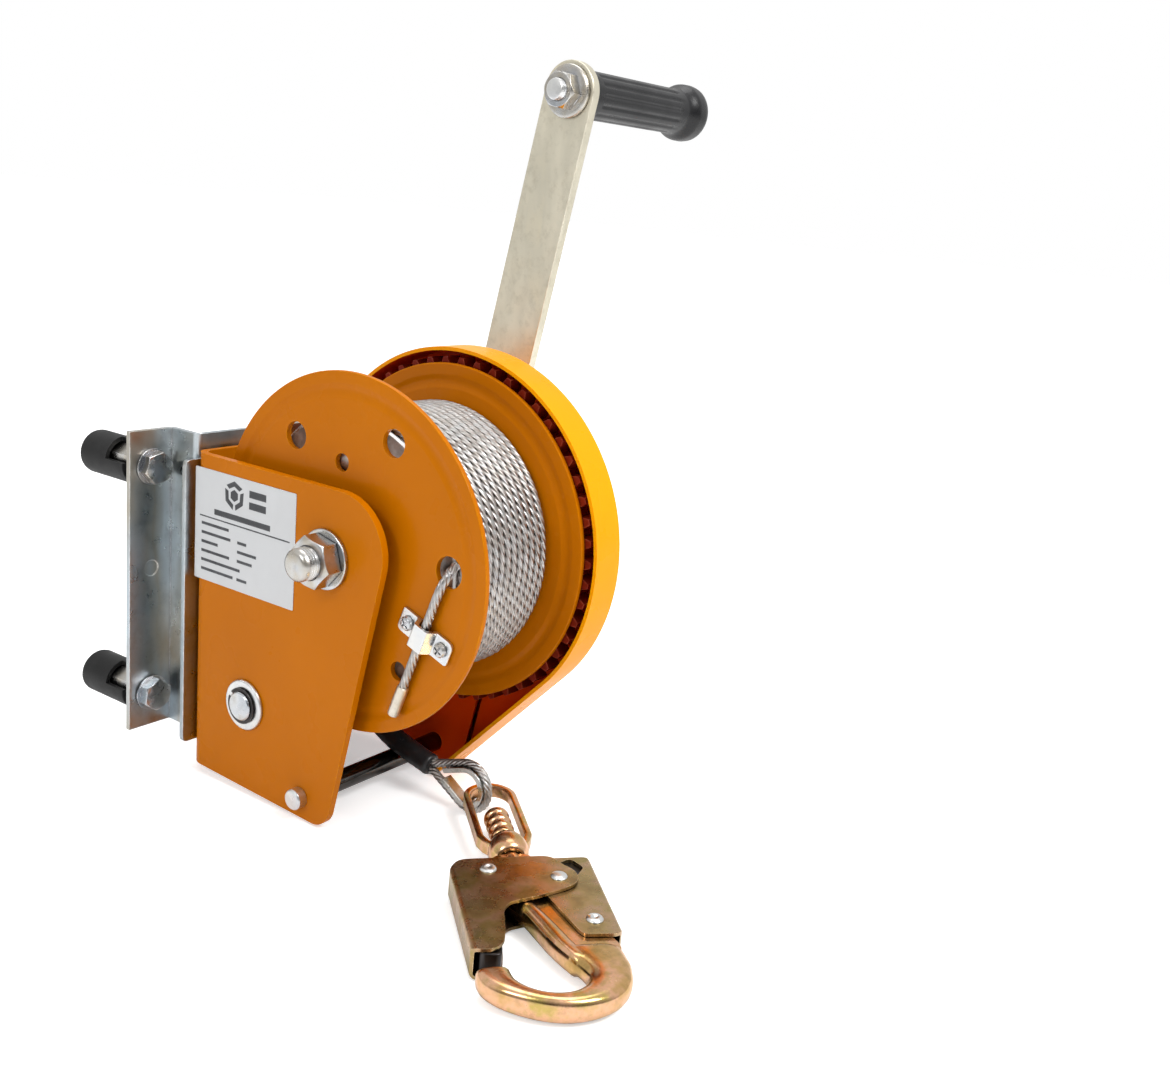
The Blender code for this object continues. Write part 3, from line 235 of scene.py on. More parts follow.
ORANGE = paint("orange_paint", (0.53, 0.152, 0.0), (0.48, 0.134, 0.0), (0.64, 0.23, 0.0))
YELLOW = paint("cover_paint", (0.98, 0.36, 0.0), (0.9, 0.31, 0.0), (1.0, 0.48, 0.0))
# Deep red for the inside of the cover and the plate behind it: a painted reflection of the orange paint's bounce
# light, not a second paint.
RED_REFLECTION = paint("cover_red_reflection", (1.0, 0.09, 0.0), (0.84, 0.05, 0.0), (0.85, 0.16, 0.0), (0.35, 0.5))
# The gear is dark steel; its dark red is a painted reflection of the cover's red bounce light.
GEAR_RED_BOUNCE = paint("gear_red_bounce", (0.24, 0.022, 0.006), (0.14, 0.01, 0.004), (0.5, 0.12, 0.06), (0.26, 0.4))
ZINC = plated("zinc_plate", [(0.42, 0.46, 0.5), (0.57, 0.59, 0.61), (0.49, 0.45, 0.38), (0.53, 0.55, 0.58)])
BRIGHT_ZINC = plated(
    "bright_zinc", [(0.64, 0.66, 0.69), (0.72, 0.72, 0.7), (0.6, 0.63, 0.67)], (0.22, 0.4), dark=(0.5, 0.51, 0.52))
SHEET_ZINC = plated(
    "sheet_zinc", [(0.34, 0.4, 0.43), (0.52, 0.56, 0.58), (0.42, 0.39, 0.33), (0.46, 0.52, 0.56)], (0.24, 0.42),
    cloud=18, streaks=(1, 1, 0.25))
ARM_ZINC = plated(
    "arm_zinc", [(0.7, 0.64, 0.49), (0.78, 0.73, 0.59), (0.66, 0.62, 0.5), (0.74, 0.68, 0.52)], (0.34, 0.48),
    (0.92, 0.9, 0.82), (0.46, 0.42, 0.32), 26, (1, 1, 0.3))
GOLD = plated(
    "gold_zinc",
    [(0.42, 0.27, 0.09), (0.6, 0.37, 0.15), (0.76, 0.44, 0.27), (0.52, 0.39, 0.12), (0.72, 0.47, 0.27)],
    (0.14, 0.3), (1.0, 0.84, 0.62), (0.3, 0.2, 0.09), 48)
GOLD_PLATE = plated(
    "gold_zinc_sheet",
    [(0.26, 0.18, 0.075), (0.38, 0.28, 0.12), (0.46, 0.31, 0.19), (0.32, 0.25, 0.09), (0.42, 0.31, 0.15)],
    (0.2, 0.36), (0.86, 0.66, 0.42), (0.2, 0.13, 0.06), 36)
BLACK_STEEL = plated(
    "black_steel", [(0.03, 0.028, 0.028), (0.055, 0.05, 0.05), (0.04, 0.036, 0.034)], (0.25, 0.42),
    (0.2, 0.19, 0.18), (0.02, 0.02, 0.02))
ROD = plated(
    "rod_black", [(0.05, 0.048, 0.047), (0.09, 0.085, 0.08), (0.06, 0.055, 0.05)], (0.1, 0.22), (0.3, 0.3, 0.3),
    (0.02, 0.02, 0.02))
BRONZE = plated(
    "bronze", [(0.5, 0.32, 0.14), (0.6, 0.4, 0.2), (0.46, 0.31, 0.16)], (0.32, 0.5), (0.8, 0.6, 0.36),
    (0.22, 0.14, 0.07))
WIRE = plated(
    "rope_steel", [(0.43, 0.43, 0.42), (0.56, 0.55, 0.54), (0.42, 0.39, 0.36), (0.5, 0.5, 0.51)], (0.3, 0.48),
    dark=(0.2, 0.19, 0.18), cloud=120)
FERRULE = plated(
    "ferrule", [(0.6, 0.54, 0.44), (0.7, 0.66, 0.58), (0.55, 0.5, 0.42)], (0.3, 0.45), dark=(0.3, 0.27, 0.22))
THIMBLE = plated(
    "thimble_zinc", [(0.42, 0.42, 0.4), (0.6, 0.6, 0.58), (0.4, 0.38, 0.32)], (0.2, 0.36),
    dark=(0.14, 0.13, 0.1), cloud=60)
RUBBER = moulded("rubber", (0.008, 0.008, 0.008), (0.42, 0.62), Specular_IOR_Level=0.25)
GRIP = moulded("grip_rubber", (0.006, 0.006, 0.007), (0.24, 0.42), 700, Specular_IOR_Level=0.4)
SLEEVE = moulded("shrink_sleeve", (0.01, 0.01, 0.011), (0.26, 0.42), 400, 0.00008)
FRICTION = moulded("friction_lining", (0.14, 0.085, 0.055), (0.75, 0.9), 1200, 0.0001)
PAPER = moulded("label_film", (0.56, 0.57, 0.58), (0.3, 0.42), 1600, 0.000008, 0.05)
INK = moulded("label_ink", (0.03, 0.032, 0.036), (0.35, 0.5), 1600, 0.000008)


# Mesh tools


def mm(points, start=0.0):
    """Points (p, q) given in millimetres, with p counted from start."""
    return [(start + p / 1000, q / 1000) for p, q in points]


def new_mesh(points, faces):
    mesh = bmesh.new()
    verts = [mesh.verts.new(p) for p in points]
    for face in faces:
        mesh.faces.new([verts[i] for i in face])
    bmesh.ops.recalc_face_normals(mesh, faces=mesh.faces)
    return mesh


def prism(outline, low, high, axis="X", holes=()):
    """A flat outline, with holes, extruded along an axis."""
    place = {"X": lambda p, q: (low, p, q), "Y": lambda p, q: (p, low, q), "Z": lambda p, q: (p, q, low)}[axis]
    mesh = bmesh.new()
    if holes:
        edges = []
        for loop in (outline, *holes):
            verts = [mesh.verts.new(place(p, q)) for p, q in loop]
            edges += [mesh.edges.new((a, b)) for a, b in zip(verts, verts[1:] + verts[:1])]
        bmesh.ops.triangle_fill(mesh, use_beauty=True, use_dissolve=False, edges=edges)
    else:
        mesh.faces.new([mesh.verts.new(place(p, q)) for p, q in outline])
    top = bmesh.ops.extrude_face_region(mesh, geom=mesh.faces[:])["geom"]
    shift = {"X": (high - low, 0, 0), "Y": (0, high - low, 0), "Z": (0, 0, high - low)}[axis]
    bmesh.ops.translate(mesh, vec=shift, verts=[v for v in top if isinstance(v, bmesh.types.BMVert)])
    bmesh.ops.recalc_face_normals(mesh, faces=mesh.faces)
    return mesh


def turned(profile, centre=(0.0, 0.0), segments=64, axis="X", shape=None):
    """A closed profile of (along, radius) turned about an axis. shape(angle, along, radius) may change each radius."""
    mesh = bmesh.new()
    rings = []
    for along, radius in profile:
        ring = []
        for i in range(1 if radius < 1e-7 else segments):
            angle = 2 * math.pi * i / segments
            r = shape(angle, along, radius) if shape else radius
            p, q = centre[0] + r * math.cos(angle), centre[1] + r * math.sin(angle)
            ring.append(mesh.verts.new({"X": (along, p, q), "Y": (p, along, q), "Z": (p, q, along)}[axis]))
        rings.append(ring)
    for one, two in zip(rings, rings[1:] + rings[:1]):
        if len(one) == 1 and len(two) == 1:
            continue
        for i in range(segments):
            j = (i + 1) % segments
            corners = [one[i % len(one)], one[j % len(one)], two[j % len(two)], two[i % len(two)]]
            mesh.faces.new(list(dict.fromkeys(corners)))
    bmesh.ops.recalc_face_normals(mesh, faces=mesh.faces)
    return mesh


def stitched(points, sides):
    """A bar through rings of points, with this many in each, and its two ends."""
    last = len(points) - sides
    faces = []
    for at in range(0, last, sides):
        faces += [(at + k, at + (k + 1) % sides, at + sides + (k + 1) % sides, at + sides + k) for k in range(sides)]
    return new_mesh(points, [*faces, tuple(range(sides)), tuple(range(last, last + sides))])


def heading(path, i):
    return (path[min(i + 1, len(path) - 1)] - path[max(i - 1, 0)]).normalized()


def sweep(path, section, up=Vector((1, 0, 0))):
    """A section carried along a path. section(i) gives its (side, over) offsets at point i."""
    path = [Vector(p) for p in path]
    points = []
    for i, point in enumerate(path):
        ahead = heading(path, i)
        side = ahead.cross(up).normalized()
        over = side.cross(ahead).normalized()
        ring = section(i)
        points += [point + a * side + b * over for a, b in ring]
    return stitched(points, len(ring))


def tube(path, radius, sides=24, up=Vector((1, 0, 0))):
    """A round bar. radius is a number or a list, one for each point."""
    at = radius if isinstance(radius, list) else [radius] * len(path)
    turn = [2 * math.pi * k / sides for k in range(sides)]
    return sweep(path, lambda i: [(at[i] * math.cos(a), at[i] * math.sin(a)) for a in turn], up)


def even(path, step):
    """The path again, with points this far apart."""
    path = [Vector(p) for p in path]
    walked = [0.0]
    for a, b in zip(path, path[1:]):
        walked.append(walked[-1] + (b - a).length)
    count = max(2, round(walked[-1] / step))
    points, k = [], 0
    for i in range(count + 1):
        at = walked[-1] * i / count
        while k < len(path) - 2 and walked[k + 1] < at:
            k += 1
        span = walked[k + 1] - walked[k]
        points.append(path[k].lerp(path[k + 1], (at - walked[k]) / span if span else 0.0))
    return points


def rope_mesh(path, up, diameter=ROPE, lay=0.03, step=0.0013, strands=6, per_strand=4):
    """Stranded rope: six strands round a core, as one lobed section that turns along the path."""
    path = even(path, step)
    radius = diameter / 2
    out, own = radius * 2 / 3, radius / 3
    lobes = []
    for k in range(strands * per_strand):
        off = math.radians(60) * ((k % per_strand) / per_strand - 0.5)
        reach = out * math.cos(off) + math.sqrt(max(0.0, own**2 - (out * math.sin(off)) ** 2))
        lobes.append((2 * math.pi * k / (strands * per_strand), max(reach, radius * 0.7)))
    length = sum((b - a).length for a, b in zip(path, path[1:])) / (len(path) - 1)

    def section(i):
        twist = 2 * math.pi * i * length / lay
        return [(r * math.cos(a + twist), r * math.sin(a + twist)) for a, r in lobes]

    return sweep(path, section, up)


def joined(*meshes):
    """Several meshes as one, side by side."""
    whole = meshes[0]
    for mesh in meshes[1:]:
        data = bpy.data.meshes.new("part")
        mesh.to_mesh(data)
        mesh.free()
        whole.from_mesh(data)
        bpy.data.meshes.remove(data)
    return whole


def boolean(one, two, operation="DIFFERENCE"):
    """A new mesh from two, by Blender's exact Boolean. Both are used up."""
    helpers = []
    for mesh in (one, two):
        bmesh.ops.recalc_face_normals(mesh, faces=mesh.faces)
        data = bpy.data.meshes.new("helper")
        mesh.to_mesh(data)
        mesh.free()
        helpers.append(bpy.data.objects.new("helper", data))
        bpy.context.scene.collection.objects.link(helpers[-1])
    modifier = helpers[0].modifiers.new("Boolean", "BOOLEAN")
    modifier.operation = operation
    modifier.solver = "EXACT"
    modifier.object = helpers[1]
    result = bmesh.new()
    result.from_object(helpers[0], bpy.context.evaluated_depsgraph_get())
    for helper in helpers:
        data = helper.data
        bpy.data.objects.remove(helper)
        bpy.data.meshes.remove(data)
    return result


def rod(radius, low, high, centre=(0.0, 0.0), segments=40, axis="X"):
    return turned([(low, 0), (low, radius), (high, radius), (high, 0)], centre, segments, axis)


def drill(mesh, radius, low, high, *centres, axis="X", segments=40):
    """Round holes of one size."""
    for centre in centres:
        mesh = boolean(mesh, rod(radius, low, high, centre, segments, axis))
    return mesh


def box(low, high):
    mesh = bmesh.new()
    bmesh.ops.create_cube(mesh, size=1.0)
    size = [b - a for a, b in zip(low, high)]
    middle = [(a + b) / 2 for a, b in zip(low, high)]
    bmesh.ops.transform(mesh, matrix=Matrix.Translation(middle) @ Matrix.Diagonal((*size, 1)), verts=mesh.verts)
    return mesh


def turn_about_x(mesh, angle, centre):
    spot = Vector((0, *centre))
    spin = Matrix.Translation(spot) @ Matrix.Rotation(angle, 4, "X") @ Matrix.Translation(-spot)
    bmesh.ops.transform(mesh, matrix=spin, verts=mesh.verts)
    return mesh


def arc(centre, radius, start, end, steps):
    angles = [math.radians(start + (end - start) * i / steps) for i in range(steps + 1)]
    return [(centre[0] + radius * math.cos(a), centre[1] + radius * math.sin(a)) for a in angles]


def hexagon(centre, across_flats, turn=0.0):
    return arc(centre, across_flats / math.sqrt(3), turn, turn + 360, 6)[:-1]


def belt(circles, step=4.0):
    """The outline of a belt drawn tight round circles (p, q, radius), which are listed anticlockwise."""
    normals = []
    for (p, q, r), (p2, q2, r2) in zip(circles, circles[1:] + circles[:1]):
        heading = math.atan2(q2 - q, p2 - p)
        normals.append(heading - math.acos((r - r2) / math.hypot(p2 - p, q2 - q)))
    outline = []
    for i, (p, q, r) in enumerate(circles):
        start, end = math.degrees(normals[i - 1]), math.degrees(normals[i])
        sweep_by = (end - start) % 360
        outline += arc((p, q), r, start, start + sweep_by, max(1, round(sweep_by / step)))
    return outline


def rounded(outline, radius, steps=5):
    """The outline with each corner replaced by a curve that starts up to radius before it."""
    result = []
    for i, here in enumerate(outline):
        corner, before, after = Vector(here), Vector(outline[i - 1]), Vector(outline[(i + 1) % len(outline)])
        start = corner + (before - corner).normalized() * min(radius, 0.48 * (before - corner).length)
        end = corner + (after - corner).normalized() * min(radius, 0.48 * (after - corner).length)
        for k in range(steps + 1):
            t = k / steps
            result.append(tuple((1 - t) ** 2 * start + 2 * t * (1 - t) * corner + t**2 * end))
    return result


def smooth_path(points, pieces=8):
    """A Catmull-Rom curve through points."""
    spots = [Vector(p) for p in points]
    spots = [2 * spots[0] - spots[1], *spots, 2 * spots[-1] - spots[-2]]
    path = []
    for a, b, c, d in zip(spots, spots[1:], spots[2:], spots[3:]):
        for i in range(pieces):
            t = i / pieces
            path.append(
                0.5 * (2 * b + (c - a) * t + (2 * a - 5 * b + 4 * c - d) * t**2 + (3 * b - a - 3 * c + d) * t**3))
    return [*path, spots[-2]]


# Pieces


def soften(obj, width, segments=2, angle=32):
    """Welds, rounds the edges and evens out the shading of a piece or a CAD node."""
    obj.data.shade_smooth()
    weld = obj.modifiers.new("Weld", "WELD")
    weld.merge_threshold = 0.000002
    if width:
        bevel = obj.modifiers.new("Bevel", "BEVEL")
        bevel.width = width
        bevel.segments = segments
        bevel.limit_method = "ANGLE"
        bevel.angle_limit = math.radians(angle)
        bevel.miter_outer = "MITER_ARC"
    normals = obj.modifiers.new("Normals", "WEIGHTED_NORMAL")
    normals.keep_sharp = True


def piece(name, mesh, material, body, nodes=(), edge=0.0004, place=WINCH, segments=2):
    """A new piece in the row frame, riding on a body and standing for the CAD nodes named."""
    bmesh.ops.transform(mesh, matrix=place, verts=mesh.verts)
    bmesh.ops.recalc_face_normals(mesh, faces=mesh.faces)
    data = bpy.data.meshes.new(name)
    mesh.to_mesh(data)
    mesh.free()
    data.materials.clear()
    data.materials.append(material)
    obj = bpy.data.objects.new(name, data)
    bpy.context.scene.collection.objects.link(obj)
    soften(obj, edge, segments)
    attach(obj, body)
    if nodes:
        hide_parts(*([nodes] if isinstance(nodes, str) else nodes))
    return obj


def dress(node, material, edge=0.0003):
    """A CAD node that stays, with rounded edges and a full material."""
    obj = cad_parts[node]
    obj.data.materials.clear()
    obj.data.materials.append(material)
    soften(obj, edge)


def plate_outline(grow=0.0):
    back = 0.001
    return belt([
        (FRAME_BACK - back, FRAME_TOP - back, back + grow), (*HEAD_CORNER[:2], HEAD_CORNER[2] + grow),
        (*FOOT_CORNER[:2], FOOT_CORNER[2] + grow), (FRAME_BACK - back, -0.1415 + back, back + grow)])


def u_channel():
    right, back, inner = FRAME_WIDTH, FRAME_BACK, BEND_RADIUS - PLATE
    left_bend, right_bend = (BEND_RADIUS, back - BEND_RADIUS), (right - BEND_RADIUS, back - BEND_RADIUS)
    front = -0.08
    outside = [(right, front), *arc(right_bend, BEND_RADIUS, 0, 90, 12), *arc(left_bend, BEND_RADIUS, 90, 180, 12)]
    inside = [(PLATE, front), *arc(left_bend, inner, 180, 90, 12), *arc(right_bend, inner, 90, 0, 12)]
    return [*outside, (0.0, front), *inside, (right - PLATE, front)]


def make_frame():
    """The bent plate, with a lip below its web and its holes. The plate behind the cover is coloured deep red, a
    painted reflection of the cover's red inside.
    """
    side = prism(plate_outline(), -0.001, FRAME_WIDTH + 0.001)
    mesh = boolean(prism(u_channel(), -0.16, 0.05, "Z"), side, "INTERSECT")
    left, right, low, high = BEND_RADIUS, FRAME_WIDTH - BEND_RADIUS, -0.1425, -0.13
    lip = belt([(x, z, 0.004) for x, z in ((left, low), (right, low), (right, high), (left, high))], 12)
    mesh = boolean(mesh, prism(lip, FRAME_BACK - PLATE, FRAME_BACK, "Y"), "UNION")
    left_plate, right_plate = (-0.01, 0.05), (0.06, 0.12)
    mesh = drill(mesh, SHAFT_HOLE, -0.01, 0.12, (0, 0))
    mesh = drill(mesh, 0.0113, *left_plate, PINION)
    mesh = drill(mesh, PINION_HOLE, *right_plate, PINION)
    mesh = drill(mesh, 0.0048, -0.01, 0.12, TIE_ROD)
    mesh = drill(mesh, PAWL_HOLE, *right_plate, PAWL_PIVOT)
    mesh = drill(mesh, SCREW_HOLE, *right_plate, *COVER_SCREWS)
    mesh = drill(mesh, BOLT_HOLE, 0.09, 0.11, *FRAME_BOLTS, axis="Y", segments=24)
    obj = piece("side_frame", mesh, ORANGE, "root", "frame", 0.0005)
    # The right plate's faces behind the cover take the deep red painted reflection.
    obj.data.materials.append(RED_REFLECTION)
    covered = (WINCH @ Vector((FRAME_WIDTH - PLATE - 0.001, 0, 0))).x
    for face in obj.data.polygons:
        if face.center.x > covered and face.normal.y < 0.5:
            face.material_index = 1


def bracket():
    """The clamp bracket: a crown over the frame's back and two flanges with their bolt holes."""
    sheet, bend, width = 0.003, 0.004, 0.0268
    left, right = 0.0056, FRAME_WIDTH - 0.0056
    crown, flange, back = 0.1066, 0.128, 0.131
    front = [
        (left - width, flange), (left, flange), *arc((left + bend, crown + bend), bend, 180, 270, 8),
        *arc((right - bend, crown + bend), bend, 270, 360, 8), (right, flange), (right + width, flange)]
    rear = [
        (right + width, back), *arc((right - sheet + bend, back - bend), bend, 90, 180, 8),
        (right - sheet, crown + sheet),
        (left + sheet, crown + sheet), *arc((left + sheet - bend, back - bend), bend, 0, 90, 8), (left - width, back)]
    mesh = prism(front + rear, -0.1265, 0.0437, "Z")
    for x in (BRACKET_BOLT_X, FRAME_WIDTH - BRACKET_BOLT_X):
        mesh = drill(mesh, 0.0053, 0.12, 0.14, *[(x, z) for z in BRACKET_BOLT_Z], axis="Y", segments=24)
        mesh = drill(mesh, 0.0045, 0.12, 0.1288, (x, -0.034), axis="Y", segments=28)
    mesh = drill(mesh, BOLT_HOLE, 0.1, 0.115, *FRAME_BOLTS, axis="Y", segments=24)
    slot = belt([(0.1145, -0.047, 0.0028), (0.1145, -0.037, 0.0028)], 12)
    mesh = boolean(mesh, prism(slot, -0.01, FRAME_WIDTH + 0.01))
    piece("clamp_bracket", mesh, SHEET_ZINC, "root", "mount_bracket", 0.0004)


def hex_part(centre, across, low, high, axis, turn=0.0, bore=0.0, chamfer=0.0009, both=False):
    """A hexagonal nut or head with turned-down corners at its high end, or at both. high may lie below low."""
    corner, flat = across / math.sqrt(3) + 0.0002, across / 2 * 0.98
    way = math.copysign(1, high - low)
    before = low - way * 0.001
    start = [(low, 0), (low, flat), (low + chamfer, corner)] if both else [(before, 0), (before, corner)]
    cutter = turned([*start, (high - way * chamfer, corner), (high, flat), (high, 0)], centre, 48, axis)
    bottom, top = min(low, high), max(low, high)
    mesh = boolean(prism(hexagon(centre, across, turn), bottom, top, axis), cutter, "INTERSECT")
    return drill(mesh, bore, bottom - 0.001, top + 0.001, centre, axis=axis) if bore else mesh


def threaded(centre, radius, low, high, axis, pitch=0.00125):
    """A threaded stud end, as rings."""
    profile = [(low, 0), (low, radius - 0.0006)]
    at = low + 0.0004
    while at < high - pitch:
        profile += [(at, radius), (at + pitch * 0.25, radius), (at + pitch * 0.6, radius - 0.0006)]
        at += pitch
    profile += [(high - 0.0006, radius - 0.0003), (high, radius - 0.0012), (high, 0)]
    return turned(profile, centre, 40, axis)


def bracket_bolts():
    spots = [(x, z) for x in (BRACKET_BOLT_X, FRAME_WIDTH - BRACKET_BOLT_X) for z in BRACKET_BOLT_Z]
    for i, spot in enumerate(spots, 1):
        head, nut = 0.128 - 0.0003, 0.1313
        parts = joined(
            hex_part(spot, 0.016, head - 0.0012, head - 0.007, "Y", 12 * i),
            turned(mm([(0, 0), (0, 9.8), (-0.3, 10), (-1.2, 10), (-1.2, 0)], head),
                   spot, 40, "Y"),
            rod(0.0049, head - 0.001, nut + 0.001, spot, 32, "Y"),
            hex_part(spot, 0.016, nut, nut + 0.026, "Y", 30, both=True),
            threaded(spot, 0.0049, nut + 0.02, BUFFER_END - 0.006, "Y"))
        piece(f"clamp_bolt_{i}", parts, ZINC, "root", f"bracket_bolt_{i}", 0.0003)
        start, bore, shank = nut + 0.006, 0.0097, 0.0054
        step, end, radius = nut + 0.0263, BUFFER_END - 0.004, 0.0122
        profile = [
            (start, bore), (start, radius - 0.0004), (start + 0.0004, radius), (BUFFER_END - 0.0025, radius),
            (BUFFER_END - 0.0012, radius - 0.0003), (BUFFER_END - 0.0004, radius - 0.0012),
            (BUFFER_END, radius - 0.0026),
            (BUFFER_END, 0), (end, 0), (end, shank), (step, shank), (step, bore)]
        mesh = turned(profile, spot, 56, "Y")
        outward = -1 if spot[0] < FRAME_WIDTH / 2 else 1
        x_edges = sorted((spot[0] + outward * 0.001, spot[0] + outward * 0.02))
        notch = box((x_edges[0], start - 0.002, spot[1] + 0.001), (x_edges[1], start + 0.015, spot[1] + 0.02))
        mesh = boolean(mesh, notch)
        piece(f"buffer_sleeve_{i}", mesh, RUBBER, "root", f"rubber_buffer_{i}", 0.0004)


def shaft_end():
    r = SHAFT_RADIUS
    left = [(-0.012, 0), (-0.012, r)]
    for i in range(4):
        at = -0.0132 - 0.0015 * i
        left += [(at, r - 0.0007), (at - 0.0007, r)]
    left += [(-0.0198, r - 0.0004), (-0.0209, r - 0.0014), (-0.0215, r - 0.003), (-0.0215, 0)]
    right = [(0.11, 0), (0.11, r)]
    at = 0.1206
    while at < 0.124:
        right += [(at, r), (at + 0.0007, r - 0.0007), (at + 0.0014, r)]
        at += 0.0015
    right += [(0.1245, r - 0.0006), (0.1253, r - 0.0018), (0.1253, 0)]
    middle = [(-0.0122, 0), (-0.0122, r), (0.0043, r), (0.0043, 0.0125), (0.012, 0.0125), (0.012, r), (0.1028, r),
              (0.1028, 0.0125), (0.1057, 0.0125), (0.1057, r), (0.1125, r), (0.1125, 0)]
    shaft = joined(*[turned(profile, segments=56) for profile in (middle, left, right)])
    piece("drum_shaft", shaft, ZINC, "root", "main_shaft", 0.0002)
    bore = SHAFT_HOLE
    washer = [(-0.0025, bore), (-0.0025, 0.015), (-0.0021, 0.0155), (-0.0003, 0.0155), (-0.0003, bore)]
    piece("washer", turned(washer, segments=72), ZINC, "root", "shaft_washer", 0.0002)
    for name, node, low, high in (
            ("shaft_nut_outer", "shaft_nut_left", -0.0028, -0.0125),
            ("shaft_nut_inner", "shaft_nut_right", COVER_BACK_X + 0.0003, COVER_BACK_X + 0.0095)):
        piece(name, hex_part((0, 0), 0.024, low, high, "X", 12, bore, 0.0014), ZINC, "root", node, 0.0003)


ROPE_HOLE = (-0.0691, 0.007)
NEAR_HOLES = [
    ((0.038, 0.0545), 0.0072), ((0.0047, 0.0466), 0.0047), ((-0.0295, 0.0623), 0.0072), ((-0.0402, -0.051), 0.005),
    (ROPE_HOLE, 0.0081)]
CLAMP = (-0.0577, -0.0275)
ROPE_TAIL_END = (-0.0405, -0.0725)
TAIL_LEAN = math.atan2(ROPE_HOLE[0] - ROPE_TAIL_END[0], ROPE_HOLE[1] - ROPE_TAIL_END[1])
TAIL_X = NEAR_FLANGE_X - 0.0033
CLAMP_SPREAD = 0.0117
CLAMP_SCREWS = [
    (CLAMP[0] + side * CLAMP_SPREAD * math.cos(-TAIL_LEAN), CLAMP[1] + side * CLAMP_SPREAD * math.sin(-TAIL_LEAN))
    for side in (-1, 1)]


def tail_point(along, x=TAIL_X):
    return (x, CLAMP[0] + along * math.sin(TAIL_LEAN), CLAMP[1] + along * math.cos(TAIL_LEAN))


def flange(low):
    """A pressed disc with a shallow groove inside its rounded rim."""
    high, bore, depth, rim = low + FLANGE, 0.0132, 0.0009, 0.0009
    ring = [(0.0785, 0.0), (0.0798, 0.25), (0.0812, 0.75), (0.0828, 1.0), (0.0842, 0.8), (0.0856, 0.25), (0.0868, 0.0)]
    profile = [(low, bore), *[(low + d * depth, r) for r, d in ring], (low, FLANGE_RADIUS - rim),
               (low + rim * 0.3, FLANGE_RADIUS - rim * 0.3), (low + rim, FLANGE_RADIUS), (high - rim, FLANGE_RADIUS),
               (high - rim * 0.3, FLANGE_RADIUS - rim * 0.3), (high, FLANGE_RADIUS - rim),
               *[(high + d * depth, r) for r, d in reversed(ring)], (high, bore)]
    return turned(profile, segments=180)


def drum():
    near = flange(NEAR_FLANGE_X)
    for spot, radius in NEAR_HOLES:
        near = drill(near, radius, 0.0, 0.03, spot)
    near = drill(near, 0.0021, 0.0, 0.03, *CLAMP_SCREWS, segments=20)
    piece("drum_flange_near", near, ORANGE, "drum", "near_flange", 0.0004)
    spots = [(0.052 * math.cos(math.radians(turn)), 0.052 * math.sin(math.radians(turn))) for turn in (45, 165, 285)]
    far = drill(flange(FAR_FLANGE_X), 0.006, 0.08, 0.1, *spots)
    piece("drum_flange_far", far, ORANGE, "drum", "far_flange", 0.0004)
    low, high = NEAR_FLANGE_X + FLANGE + 0.0003, FAR_FLANGE_X - 0.0003
    turns, steps = 14, 240
    first, last, centre = low + ROPE / 2, high - ROPE / 2, WINDING_RADIUS - ROPE / 2
    helix = []
    for i in range(turns * steps + 1):
        angle = 2 * math.pi * i / steps
        x = first + (last - first) * i / (turns * steps)
        helix.append((x, centre * math.cos(angle), -centre * math.sin(angle)))
    wraps = rope_mesh(helix, Vector((1, 0, 0)), ROPE * 1.01, step=0.0016)
    core = turned([(low, 0.0325), (low, 0.0692), (high, 0.0692), (high, 0.0325)], segments=96)
    piece("rope_wraps", joined(wraps, core), WIRE, "drum", "rope_winding", 0)


